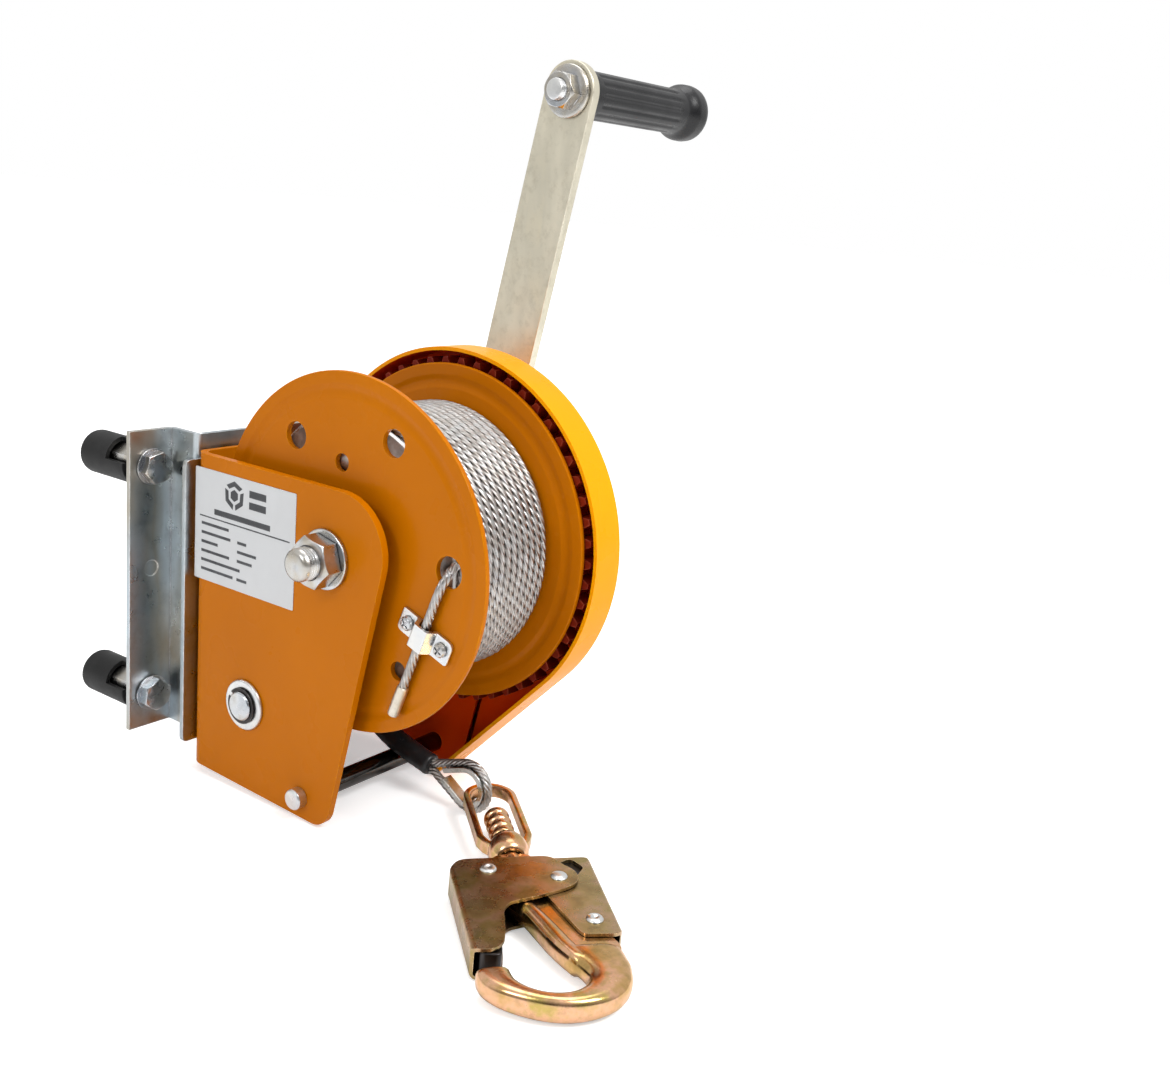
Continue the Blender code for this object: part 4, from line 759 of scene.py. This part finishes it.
def rope_fixing():
    inside = NEAR_FLANGE_X + 0.001
    points = [(inside + 0.004, ROPE_HOLE[0] - 0.0006, ROPE_HOLE[1] + 0.0035), (inside, *ROPE_HOLE),
              (inside - 0.0016, *tail_point(0.0352)[1:]), tail_point(0.03, TAIL_X + 0.0006),
              tail_point(0.024), tail_point(0.009), tail_point(-0.008), tail_point(-0.031)]
    tail = rope_mesh(smooth_path(points), Vector((1, 0, 0)), lay=0.024, step=0.0008, per_strand=5)
    piece("fixed_rope_end", tail, WIRE, "drum", "rope_tail", 0)
    ends = [tail_point(-0.0303 - 0.0177 * t) for t in (0, 0.02, 0.05, 0.3, 0.6, 0.95, 0.98, 1)]
    radii = [0.0025, 0.0029, 0.003, 0.00305, 0.003, 0.003, 0.0029, 0.0026]
    piece("end_ferrule", tube(ends, radii, 32), FERRULE, "drum", "rope_ferrule", 0.0001)
    face, sheet, half, width = NEAR_FLANGE_X - 0.0003, 0.0016, 0.0175, 0.0125
    crown_in = TAIL_X - ROPE / 2 - 0.0003
    crown_out, foot, shoulder = crown_in - sheet, face - sheet, ROPE / 2 + 0.0003
    outline = [
        (half, face), (half, foot), (shoulder + 0.0042, foot), (shoulder + sheet, crown_out),
        (-shoulder - sheet, crown_out),
        (-shoulder - 0.0042, foot), (-half, foot), (-half, face), (-shoulder - 0.0026, face), (-shoulder, crown_in),
        (shoulder, crown_in), (shoulder + 0.0026, face)]
    soft = rounded([(x, p) for p, x in outline], 0.0009, 4)
    mesh = prism(soft, -width / 2, width / 2, "Z")
    corners = rounded([(-half, -width / 2), (half - 0.002, -width / 2), (half, -width / 2 + 0.002), (half, width / 2),
                       (-half + 0.002, width / 2), (-half, width / 2 - 0.002)], 0.0018)
    mesh = boolean(mesh, prism(corners, 0.0, 0.03), "INTERSECT")
    bmesh.ops.translate(mesh, vec=(0, *CLAMP), verts=mesh.verts)
    turn_about_x(mesh, -TAIL_LEAN, CLAMP)
    mesh = drill(mesh, 0.0023, 0.0, 0.03, *CLAMP_SCREWS, segments=20)
    piece("rope_saddle", mesh, BRIGHT_ZINC, "drum", "rope_clamp", 0.0002)
    for i, spot in enumerate(CLAMP_SCREWS, 1):
        head = foot - 0.0003
        profile = [(head - 0.0022, 0), (head - 0.0022, 0.002), (head - 0.0019, 0.003), (head - 0.001, 0.0037),
                   (head, 0.0038),
                   (head, 0.0018), (NEAR_FLANGE_X + FLANGE, 0.0018), (NEAR_FLANGE_X + FLANGE, 0)]
        screw = turned(profile, spot, 32)
        for turn in (20, 110):
            slot = box((head - 0.003, spot[0] - 0.0026, spot[1] - 0.0005),
                       (head - 0.001, spot[0] + 0.0026, spot[1] + 0.0005))
            screw = boolean(screw, turn_about_x(slot, math.radians(turn + 15 * i), spot))
        piece(f"saddle_screw_{i}", screw, ZINC, "drum", f"clamp_screw_{i}", 0.0001)


def cover_outline(shrink=0.0):
    corners = ((0, 0, COVER_RADIUS), (0.004, -0.1335, 0.0125), (0.092, -0.129, 0.009), (0.092, 0.02, 0.009))
    return belt([(y, z, radius - shrink) for y, z, radius in corners], 2)


def gear_cover():
    """The pressed cover, painted yellow-orange, and coloured deep red inside as a painted reflection of its paint's
    bounce light.
    """
    wall = 0.002
    mesh = prism(cover_outline(), COVER_RIM_X, COVER_BACK_X)
    back_edge = [e for e in mesh.edges if all(abs(v.co.x - COVER_BACK_X) < 1e-6 for v in e.verts)]
    bmesh.ops.bevel(mesh, geom=back_edge, offset=0.0022, segments=4, profile=0.5, affect="EDGES")
    inside_x = COVER_BACK_X - wall
    mesh = boolean(mesh, prism(cover_outline(wall), COVER_RIM_X - 0.01, inside_x))
    mesh = boolean(mesh, box((0.05, 0.086, -0.2), (inside_x, 0.2, 0.2)))
    mesh = boolean(mesh, box((0.05, 0.004, -0.2), (inside_x, 0.2, -0.11)))
    mesh = boolean(mesh, prism(plate_outline(0.0005), FRAME_WIDTH - PLATE - 0.0003, inside_x))
    for radius, *centres in (
            (SHAFT_HOLE, (0, 0)), (PINION_HOLE, PINION), (PAWL_HOLE, PAWL_PIVOT), (SCREW_HOLE, *COVER_SCREWS)):
        mesh = drill(mesh, radius, 0.1, 0.13, *centres)
    obj = piece("cover", mesh, YELLOW, "root", "gear_cover", 0.0005)
    # The inner walls and the inside of the back take the deep red painted reflection.
    obj.data.materials.append(RED_REFLECTION)
    middle = WINCH @ Vector((0.0, 0.03, -0.03))
    behind_rim = (WINCH @ Vector((COVER_RIM_X + 0.003, 0, 0))).x
    for face in obj.data.polygons:
        outward = face.center - middle
        outward.x = 0
        radial = face.normal.x > -0.5 and face.normal.dot(outward) < 0 and abs(face.normal.x) < 0.5
        if radial or (face.normal.x < -0.9 and face.center.x > behind_rim):
            face.material_index = 1


def crank():
    """The crank arm with its nuts, handle pin and fluted grip."""
    low, high, half = ARM_X, ARM_X + ARM_THICKNESS, ARM_WIDTH / 2
    outline = belt([(*HANDLE, half), (*PINION, half + 0.001)], 3)
    mesh = drill(drill(prism(outline, low, high), 0.0093, 0.1, 0.2, PINION), 0.0063, 0.1, 0.2, HANDLE)
    piece("crank_bar", mesh, ARM_ZINC, "crank", "crank_arm", 0.0006, segments=3)
    piece("crank_hex_nut", hex_part(PINION, 0.024, high + 0.0003, high + 0.011, "X", 8, 0.0073, 0.0014), ZINC,
          "crank",
          "crank_nut", 0.0003)
    washer = mm([(-0.3, 6.1), (-0.3, 14.3), (-1.6, 14.3), (-2.2, 13.9), (-2.8, 12.4), (-2.8, 6.1)], low)
    nut = hex_part(HANDLE, 0.0182, low - 0.0026, low - 0.0103, "X", 10, 0.0061, 0.0018)
    piece("handle_flange_nut", joined(turned(washer, HANDLE, 64), nut), ZINC, "crank", "handle_nut", 0.0003)
    start, end = high + 0.0003, high + 0.0003 + GRIP_LENGTH
    pin_head = end - 0.01
    pin = [(low - 0.0095, 0), (low - 0.0095, 0.0058), (pin_head, 0.0058), (pin_head, 0.0088),
           (pin_head + 0.003, 0.0086),
           (pin_head + 0.004, 0.007), (pin_head + 0.004, 0)]
    stub = threaded(HANDLE, 0.0058, 0.0, 0.005, "X", 0.001)
    bmesh.ops.transform(stub, matrix=Matrix.Translation((low - 0.009, 0, 0)) @ Matrix.Diagonal((-0.9, 1, 1, 1)),
                        verts=stub.verts)
    piece("handle_bolt", joined(turned(pin, HANDLE, 40), stub), BRIGHT_ZINC, "crank", "handle_pin", 0.0002)
    radius, flare, flutes = 0.013, 0.0165, 14

    def fluted(angle, along, r):
        inside = start + 0.01 < along < end - 0.026 and r > 0.0115
        return r - (0.0008 * (0.5 + 0.5 * math.cos(flutes * angle)) ** 3 if inside else 0.0)

    body = [(start, 0.0063), (start, radius - 0.0012), (start + 0.0004, radius - 0.0004), (start + 0.0012, radius),
            (start + 0.0098, radius), (start + 0.0112, radius), (start + 0.03, radius), (start + 0.06, radius),
            (end - 0.0285, radius), (end - 0.0255, radius)]
    for i in range(9):
        t = i / 8
        body.append((end - 0.02 + 0.0095 * t, radius + (flare - radius) * (3 * t**2 - 2 * t**3)))
    body += [(end - 0.006, flare + 0.0001), (end - 0.003, flare - 0.0003), (end - 0.0012, flare - 0.0016),
             (end, flare - 0.0038),
             (end, 0.0102), (end - 0.0006, 0.0098), (pin_head - 0.0003, 0.0098), (pin_head - 0.0003, 0.0063)]
    piece("grip_sleeve", turned(body, HANDLE, 168, shape=fluted), GRIP, "grip", "hand_grip", 0)


def pinion_end():
    journal, groove = 0.008, 0.0072
    bush = [(-0.0022, journal + 0.0004), (-0.0022, 0.0128), (-0.0019, 0.0136), (-0.0012, 0.014), (-0.0003, 0.014),
            (-0.0003, 0.011),
            (0.008, 0.011), (0.008, journal + 0.0004)]
    piece("pinion_bush_outer", turned(bush, PINION, 72), BRIGHT_ZINC, "root", "pinion_bush_left", 0.0002)
    ring = turned([(-0.0035, groove + 0.0002), (-0.0035, 0.01), (-0.0029, 0.01), (-0.0029, groove + 0.0002)],
                  PINION, 56)
    gap = box((-0.01, PINION[0] - 0.0015, PINION[1]), (0.0, PINION[0] + 0.0015, PINION[1] + 0.02))
    piece("snap_ring", boolean(ring, turn_about_x(gap, math.radians(-60), PINION)), BLACK_STEEL, "crank",
          "retaining_ring", 0.0001)
    rod = [(-0.0062, 0), (-0.0062, 0.004), (-0.0058, 0.005), (-0.005, 0.0054), (-0.0003, 0.0054), (-0.0003, 0.0045),
           (PLATE + 0.0003, 0.0045), (PLATE + 0.0003, 0.0056), (0.1057, 0.0056), (0.1057, 0.0045), (0.11, 0.0045),
           (0.11, 0)]
    piece("tie_bar", turned(rod, TIE_ROD, 48), ROD, "root", "tie_rod", 0.0001)
    cap = mm([(-6.3, 0), (-6.3, 3.8), (-5.9, 5), (-5.1, 5.6), (-0.3, 5.6), (-0.3, 0)])
    piece("tie_bar_end", turned(cap, TIE_ROD, 48), BRIGHT_ZINC, "root", (), 0.0001)


# Free rope end

LEAD_RADIUS = WINDING_RADIUS + ROPE / 2 + 0.0006
LEAD_TURN = [math.radians(degrees) for degrees in (20, 5, -10, -25)]
LEAD_POINTS = [
    *[(ROPE_X, LEAD_RADIUS * math.cos(a), LEAD_RADIUS * math.sin(a)) for a in LEAD_TURN],
    (ROPE_X, 0.0615, -0.05), (ROPE_X, 0.0535, -0.068), (ROPE_X, 0.0455, -0.0845), (ROPE_X, 0.0385, -0.0985)]
SLEEVE_POINTS = [
    (ROPE_X, 0.031, -0.108), (ROPE_X, 0.0225, -0.1153), (ROPE_X, 0.0125, -0.1204), (ROPE_X, -0.003, -0.1248),
    (ROPE_X, -0.0175, -0.128)]


def eye_loop(radius, throat, half_throat, steps=18):
    """A teardrop in the plane x = ROPE_X round EYE_CENTRE, open at its throat."""
    lean = math.atan2(EYE_CENTRE[1] - SLEEVE_POINTS[-1][2], EYE_CENTRE[0] - SLEEVE_POINTS[-1][1])
    along = Vector((0, math.cos(lean), math.sin(lean)))
    across = Vector((0, -along.z, along.y))
    centre = Vector((ROPE_X, *EYE_CENTRE))
    spread = math.asin((radius - half_throat) / throat) + math.pi / 2
    points = [centre - throat * along - half_throat * across]
    for i in range(steps + 1):
        angle = -spread + 2 * spread * i / steps
        points.append(centre + radius * (math.cos(angle) * along + math.sin(angle) * across))
    points.append(centre - throat * along + half_throat * across)
    return points


def rope_end():
    side = Vector((1, 0, 0))
    route = smooth_path([*LEAD_POINTS, *SLEEVE_POINTS])
    lead = piece("free_rope", rope_mesh(route, side, step=0.0009, per_strand=5), WIRE, "root", "rope_lead", 0)
    path = even(smooth_path(SLEEVE_POINTS, 12), 0.0011)
    count = len(path) - 1
    radii = []
    for i in range(count + 1):
        end = min(i, count - i) / 2.0
        wave = 0.00012 * math.sin(i * 0.9) * math.sin(i * 0.37)
        radii.append(0.0061 + wave - (0.0012 * (1 - min(1.0, end)) ** 2))
    sleeve = piece("shrink_sleeve", tube(path, radii, 36), SLEEVE, "root", "rope_sleeve", 0)
    loop = eye_loop(0.013, 0.0254, ROPE / 2 + 0.0003, 60)
    inward = (loop[0] + loop[-1]) / 2 - Vector((ROPE_X, *EYE_CENTRE))
    loop = [loop[0] + inward * 0.2, *loop, loop[-1] + inward * 0.2]
    eye = piece("spliced_eye", rope_mesh(loop, side, lay=0.022, step=0.0007, per_strand=5), WIRE, "root", "rope_eye",
                0)
    band = even(eye_loop(0.013 - ROPE / 2 - 0.0022, 0.0165, 0.0014, 60), 0.0008)
    gutter = mm([(-3.6, 3), (-3.6, 0.4), (-3, 0), (3, 0), (3.6, 0.4), (3.6, 3), (3, 3.4), (2.7, 2.6), (2.2, 1.3),
                 (0, 1.1),
                 (-2.2, 1.3), (-2.7, 2.6), (-3, 3.4)])
    points = []
    centre = Vector((ROPE_X, *EYE_CENTRE))
    for i, point in enumerate(band):
        out = heading(band, i).cross(side)
        out *= 1 if out.dot(point - centre) > 0 else -1
        points += [point + p * side + q * out for p, q in gutter]
    thimble = piece("eye_thimble", stitched(points, len(gutter)), THIMBLE, "root", "thimble", 0.0002)
    return lead, route, [sleeve, eye, thimble]


# Swivel and snap hook, along the hook's own axis

LEVER_IN, LEVER_OUT = 0.0043, 0.0059
GATE_IN, GATE_OUT = 0.0062, 0.0078
GATE_RIVET = (0.034, -0.0157)
LOCK_RIVET = (0.0778, 0.0262)
LOCK_STUD = (0.0435, 0.017)
STUD = mm([(4.5, 0), (4.5, 2.2), (7.2, 2.2), (7.2, 4.1), (8.1, 4.1), (8.7, 3.6), (9.1, 2.4), (9.2, 0)])


def along_hook(outline):
    return mm(outline, EYE_LENGTH)


def swivel_eye():
    """A flat strap bent round the thimble, and the domed end that its legs run into."""
    half, end = EYE_ARC, DOME - 0.002
    path = [(end, -half + 0.0055, 0), (end - 0.004, -half + 0.0022, 0), (end - 0.01, -half, 0), (half, -half, 0)]
    path += [(half - half * math.sin(a), -half * math.cos(a), 0) for a in [math.pi * i / 24 for i in range(1, 24)]]
    path += [(half, half, 0), (end - 0.01, half, 0), (end - 0.004, half - 0.0022, 0), (end, half - 0.0055, 0)]
    thick, wide = 0.0019, 0.0036
    section = rounded([(-thick, -wide), (thick, -wide), (thick, wide), (-thick, wide)], 0.0013, 4)
    strap = sweep(even(path, 0.0009), lambda i: section, Vector((0, 0, 1)))
    dome = [(DOME - 0.0085, 0.0054), (DOME - 0.0085, 0.0078)]
    dome += [(DOME - 0.0082 * math.cos(a),
              0.005 + 0.0053 * math.sin(a)) for a in [math.pi * (0.12 + 0.76 * i / 16) for i in range(17)]]
    dome += [(DOME + 0.008, 0.0054)]
    piece("swivel_bail", joined(strap, turned(dome, segments=56)), GOLD, "swivel", "swivel_eye", 0, HOOK)


def loft(inner, outer, thick, ease, power=3.0, sides=28):
    """A forged bar between two edges, with a rounded section. Its ends close over the length ease."""
    inner = smooth_path([(*p, 0) for p in inner], 6)
    outer = smooth_path([(*p, 0) for p in outer], 6)
    walked = [0.0]
    for i in range(1, len(inner)):
        walked.append(walked[-1] + ((inner[i] + outer[i]) / 2 - (inner[i - 1] + outer[i - 1]) / 2).length)
    points = []
    for i, (a, b) in enumerate(zip(inner, outer)):
        near = min(1.0, min(walked[i], walked[-1] - walked[i]) / ease)
        size = 0.55 + 0.45 * math.sqrt(1 - (1 - near) ** 2)
        middle, half = (a + b) / 2, (b - a) / 2 * (0.75 + 0.25 * (size - 0.55) / 0.45)
        for k in range(sides):
            turn = 2 * math.pi * k / sides
            c, d = math.cos(turn), math.sin(turn)
            reach = (abs(c) ** power + abs(d) ** power) ** (-1 / power)
            points.append(middle + half * c * reach + Vector((0, 0, thick * size * d * reach)))
    return stitched(points, sides)


def hook_body():
    head_outline = along_hook([
        (15, -9.5), (24, -13), (27, -22.5), (41, -22.5), (50, -13), (64, -4.2),
        (92, 4), (101, 9), (101, 33.5), (95, 33.7), (88, 31), (73, 31),
        (66, 22.5), (52, 11), (30, 10), (15, 9.5)])
    head_slab = prism(rounded(head_outline, 0.006, 4), -0.004, 0.004, "Z")
    bow = loft(
        along_hook([
            (94.5, 5), (102, 9), (111, 13.2), (117, 14), (122.5, 10.8), (126.2, 5),
            (127, -1), (125.5, -7.8), (121.5, -13.6), (116, -17.2), (111, -18.3), (107.2, -18.5)]),
        along_hook([
            (95, 34.2), (103, 34.8), (111, 35), (122, 32.2), (130.5, 25.5), (135.4, 15.5),
            (136.8, 3), (134.2, -8.5), (129, -19), (122.2, -28), (115, -32.8), (106.2, -34.2)]),
        0.006, 0.0035)
    spine = loft(
        along_hook([(56, -9), (64, -4.6), (78, -0.4), (92, 3.6), (106, 10)]),
        along_hook([(56, 1), (66, 4.6), (78, 9), (93, 14), (106, 19.5)]), 0.0056, 0.002)
    whole = boolean(boolean(head_slab, bow, "UNION"), spine, "UNION")
    head = DOME - 0.009
    profile = [(head - 0.027, 0)]
    for back in (0.027, 0.0203, 0.0136, 0.0069):
        at = head - back
        profile += mm([(0, 5), (0.4, 6), (1.2, 6.6), (2.4, 6.8), (3.6, 6.6), (4.4, 6), (4.8, 5.3)], at)
    profile += [(head, 0.0056), (head, 0.005), (EYE_LENGTH + 0.019, 0.005), (EYE_LENGTH + 0.019, 0)]
    whole = boolean(whole, turned(profile, segments=48), "UNION")
    spots = [(EYE_LENGTH + p, q) for p, q in (GATE_RIVET, LOCK_RIVET)]
    whole = drill(whole, 0.0026, -0.02, 0.02, *spots, axis="Z", segments=24)
    piece("hook_forging", whole, GOLD, "hook", "hook_body", 0, HOOK)


def channel(outer, inner, bend, flat_edge, open_edge, start, end):
    """A U channel along the hook's axis, as a prism. Its web lies at flat_edge and it opens towards open_edge."""
    way = 1 if open_edge > flat_edge else -1
    points = []
    for sign, r, half, web in ((-1, bend, outer, flat_edge), (1, bend, outer, flat_edge)):
        for i in range(9):
            a = math.pi / 2 * (i / 8 if sign > 0 else 1 - i / 8)
            points.append((web + way * (r - r * math.cos(a)), sign * (half - r + r * math.sin(a))))
    points.append((open_edge, outer))
    points.append((open_edge, inner))
    sheet = outer - inner
    r = max(bend - sheet, 0.0003)
    for sign in (1, -1):
        for i in range(9):
            a = math.pi / 2 * (1 - i / 8 if sign > 0 else i / 8)
            points.append((flat_edge + way * (sheet + r - r * math.cos(a)), sign * (inner - r + r * math.sin(a))))
    points += [(open_edge, -inner), (open_edge, -outer)]
    return prism(points, EYE_LENGTH + start, EYE_LENGTH + end)


def hook_gate():
    outline = rounded(along_hook([
        (31, -34), (24.5, -28.5), (24, -24), (24, 14), (26.2, 18.5), (32.5, 21),
        (36, 24.3), (41, 26.5), (46, 26.2), (50.5, 23.5), (53.5, 18.5), (59, 4), (63, -10.5), (69, -14.5), (84, -16.5),
        (93.5, -18.5), (98.5, -23), (99, -29), (97, -34.2)]), 0.003, 5)
    shell = channel(GATE_OUT, GATE_IN, 0.003, -0.0341, 0.04, 0.015, 0.11)
    mesh = boolean(shell, prism(outline, -0.01, 0.01, "Z"), "INTERSECT")
    piece("gate_plate", mesh, GOLD_PLATE, "gate", "hook_gate", 0.0004, HOOK, 3)
    tongue = rounded(along_hook([(64, -30), (98.5, -30.5), (100.5, -21), (96, -19.6), (64, -16.5)]), 0.003)
    # The tongue is black so that it shows as the shade in the gap between the gate's leg and the nose: painted shade.
    piece("gate_tongue", prism(tongue, -0.0056, 0.0056, "Z"), BLACK_STEEL, "gate", (), 0.0008, HOOK, 3)
    studs = []
    for side in (-1, 1):
        profile = [(side * z, r) for z, r in STUD]
        studs.append(turned(profile, (EYE_LENGTH + LOCK_STUD[0], LOCK_STUD[1]), 32, "Z"))
    piece("gate_rivets", joined(rivet(GATE_RIVET, GATE_OUT), *studs), BRIGHT_ZINC, "gate", (), 0.0002, HOOK)


def rivet(spot, outside):
    """A rivet with a low domed head and a punched middle at each end."""
    half = mm([(-0.4, 2.3), (-0.4, 4.1), (0.4, 4.1), (1.1, 3.4), (1.4, 2), (0.9, 1.1), (0.6, 0)], outside)
    profile = [(-a, r) for a, r in reversed(half)] + half
    return turned(profile, (EYE_LENGTH + spot[0], spot[1]), 36, "Z")


def lock_lever():
    outline = rounded(along_hook([
        (23.5, 5), (23.5, 34), (25, 37.2), (87, 37.2), (90, 34.5), (89, 19),
        (86, 17.2), (60, 9.5), (45, 5.5)]), 0.0025, 5)
    slot = belt([(EYE_LENGTH + 0.033, 0.0183, 0.0029), (EYE_LENGTH + 0.0435, 0.017, 0.0029),
                 (EYE_LENGTH + 0.0426, 0.0219, 0.0029), (EYE_LENGTH + 0.033, 0.0285, 0.0029),
                 (EYE_LENGTH + 0.0285, 0.026, 0.0029)], 12)
    shell = channel(LEVER_OUT, LEVER_IN, 0.0022, 0.0371, 0.0, 0.015, 0.11)
    mesh = boolean(shell, prism(outline, -0.01, 0.01, "Z"), "INTERSECT")
    mesh = boolean(mesh, prism(slot, 0.0, 0.01, "Z"))
    piece("lever_plate", mesh, GOLD_PLATE, "lever", "lock_lever", 0.0004, HOOK, 3)
    spring_pack = rounded(along_hook([(24.5, 20.5), (45, 20.5), (45, 34.5), (24.5, 34.5)]), 0.001)
    piece("lever_filling", prism(spring_pack, -0.004, 0.004, "Z"), BLACK_STEEL, "lever", (), 0.0004, HOOK)
    piece("lever_rivet", rivet(LOCK_RIVET, LEVER_OUT), BRIGHT_ZINC, "lever", (), 0.0002, HOOK)


# Rating label with plain bars for its print

LABEL_Y = (0.0225, 0.1)
LABEL_Z = (-0.033, 0.0285)
FILM_LAYER = (-0.00025, -0.00002)
INK_LAYER = (-0.00033, -0.00026)
PRINT_ROWS = [(0.28, 0.0), (0.3, 0.09), (0.17, 0.19), (0.29, 0.15), (0.4, 0.0), (0.33, 0.1)]


def label():
    y0, y1 = LABEL_Y
    z0, z1 = LABEL_Z
    plate = rounded([(y0, z0), (y1, z0), (y1, z1), (y0, z1)], 0.0008)
    piece("rating_label", prism(plate, *FILM_LAYER), PAPER, "root", (), 0)
    wide, tall = y1 - y0, z1 - z0
    marks = []

    def bar(left, top, width, height):
        """A bar placed from the label's upper left corner, in parts of its width and height."""
        y, z = y1 - (left + width) * wide, z1 - (top + height) * tall
        across, up = y + width * wide, z + height * tall
        marks.append(prism([(y, z), (across, z), (across, up), (y, up)], *INK_LAYER))

    badge = (y1 - 0.4 * wide, z1 - 0.17 * tall)
    for start in (38, 158, 278):
        marks.append(prism(arc(badge, 0.0078, start, start + 104, 2) + arc(badge, 0.005, start + 104, start, 2),
                           *INK_LAYER))
    marks.append(prism(hexagon(badge, 0.0056, 30), *INK_LAYER))
    for place in ((0.55, 0.085, 0.165, 0.062), (0.55, 0.185, 0.165, 0.062), (0.2, 0.335, 0.56, 0.05),
                  (0.05, 0.418, 0.9, 0.012)):
        bar(*place)
    for row, (first, second) in enumerate(PRINT_ROWS):
        top = 0.475 + 0.082 * row
        bar(0.07, top, first, 0.026)
        if second:
            bar(0.44, top, second, 0.026)
    piece("label_print", joined(*marks), INK, "root", (), 0)


make_frame()
bracket()
bracket_bolts()
shaft_end()
drum()
rope_fixing()
gear_cover()
crank()
pinion_end()
lead, route, on_rope = rope_end()
swivel_eye()
hook_body()
hook_gate()
lock_lever()
label()

for node, material, edge in [
        ("adapter_plate", SHEET_ZINC, 0.0003), ("drum_bush_left", BRONZE, 0.0003), ("drum_bush_right", BRONZE, 0.0003),
        ("drum_barrel", ORANGE, 0.0003), ("drum_gear", GEAR_RED_BOUNCE, 0.0002), ("pinion_shaft", ZINC, 0.0002),
        ("pinion_bush_right", BRONZE, 0.0003), ("pressure_disc", ZINC, 0.0004),
        ("friction_disc_inner", FRICTION, 0.0003),
        ("ratchet_wheel", BLACK_STEEL, 0.0003), ("friction_disc_outer", FRICTION, 0.0003), ("crank_hub", ZINC, 0.0004),
        ("pawl", ZINC, 0.0003), ("pawl_pin", ZINC, 0.0003), ("pawl_spring", BLACK_STEEL, 0.0),
        ("cover_screw_1", ZINC, 0.0002), ("cover_screw_2", ZINC, 0.0002),
        *[(f"frame_bolt_{i}", ZINC, 0.0003) for i in (1, 2, 3, 4)]]:
    dress(node, material, edge)


# Stage

CAMERA_LENS = 40.66
SENSOR_WIDTH = 36
CAMERA_PLACE = (-0.5779, -0.4974, 0.3328)
CAMERA_AXES = ((0.5807, -0.8094, 0.0877), (0.1548, 0.2156, 0.9642), (-0.7993, -0.5463, 0.2505))  # right, up, back
LIT_POINT = (0.0, 0.0, 0.15)
LIGHTS = [  # name, place, size in metres, power in watts
    ("key", (-0.1, -1.3, 1.55), 0.7, 22), ("side", (-1.6, -0.1, 1.1), 0.5, 7), ("top", (0.35, 0.25, 1.9), 1.2,
                                                                                     11)]
FLOOR_GLOW = 0.45


def stage():
    """A white floor and world, each brighter to the camera than to the winch, then lights and the camera."""
    mesh = bmesh.new()
    bmesh.ops.create_grid(mesh, x_segments=1, y_segments=1, size=12.0)
    data = bpy.data.meshes.new("floor")
    mesh.to_mesh(data)
    mesh.free()
    floor = bpy.data.objects.new("floor", data)
    floor.location.z = -0.0005
    bpy.context.scene.collection.objects.link(floor)
    look = bpy.data.materials.new("floor")
    look.use_nodes = True
    shader = look.node_tree.nodes["Principled BSDF"]
    shader.inputs["Base Color"].default_value = (0.93, 0.93, 0.93, 1)
    shader.inputs["Roughness"].default_value = 0.9
    shader.inputs["Specular IOR Level"].default_value = 0.1
    shader.inputs["Emission Color"].default_value = (1, 1, 1, 1)
    seen = look.node_tree.nodes.new("ShaderNodeLightPath").outputs["Is Camera Ray"]
    lift = look.node_tree.nodes.new("ShaderNodeMath")
    lift.operation = "MULTIPLY"
    lift.inputs[1].default_value = FLOOR_GLOW
    look.node_tree.links.new(seen, lift.inputs[0])
    look.node_tree.links.new(lift.outputs[0], shader.inputs["Emission Strength"])
    data.materials.append(look)

    world = bpy.data.worlds.new("studio")
    bpy.context.scene.world = world
    world.use_nodes = True
    nodes, links = world.node_tree.nodes, world.node_tree.links
    direction = nodes.new("ShaderNodeTexCoord").outputs["Generated"]
    lean = nodes.new("ShaderNodeVectorMath")
    lean.operation = "DOT_PRODUCT"
    lean.inputs[1].default_value = (0.55, 0.5, 0.67)
    links.new(direction, lean.inputs[0])
    fade = nodes.new("ShaderNodeMapRange")
    fade.interpolation_type = "SMOOTHSTEP"
    for name, value in (("From Min", -0.75), ("From Max", 0.25), ("To Min", 0.08), ("To Max", 0.85)):
        fade.inputs[name].default_value = value
    links.new(lean.outputs["Value"], fade.inputs["Value"])
    background = nodes["Background"]
    background.inputs["Color"].default_value = (1.0, 1.0, 1.0, 1)
    white = nodes.new("ShaderNodeMath")
    white.operation = "MAXIMUM"
    links.new(nodes.new("ShaderNodeLightPath").outputs["Is Camera Ray"], white.inputs[0])
    links.new(fade.outputs["Result"], white.inputs[1])
    links.new(white.outputs[0], background.inputs["Strength"])

    for name, spot, size, power in LIGHTS:
        lamp = bpy.data.lights.new(name, "AREA")
        lamp.size = size
        lamp.energy = power
        obj = bpy.data.objects.new(name, lamp)
        obj.location = spot
        obj.rotation_euler = (Vector(LIT_POINT) - Vector(spot)).to_track_quat("-Z", "Y").to_euler()
        bpy.context.scene.collection.objects.link(obj)

    camera = bpy.data.cameras.new("camera")
    camera.lens = CAMERA_LENS
    camera.sensor_width = SENSOR_WIDTH
    view = bpy.data.objects.new("camera", camera)
    turn = Matrix([Vector(axis) for axis in CAMERA_AXES]).transposed().to_4x4()
    view.matrix_world = Matrix.Translation(CAMERA_PLACE) @ turn
    bpy.context.scene.collection.objects.link(view)
    bpy.context.scene.camera = view
    bpy.context.scene.view_settings.view_transform = "Standard"


stage()
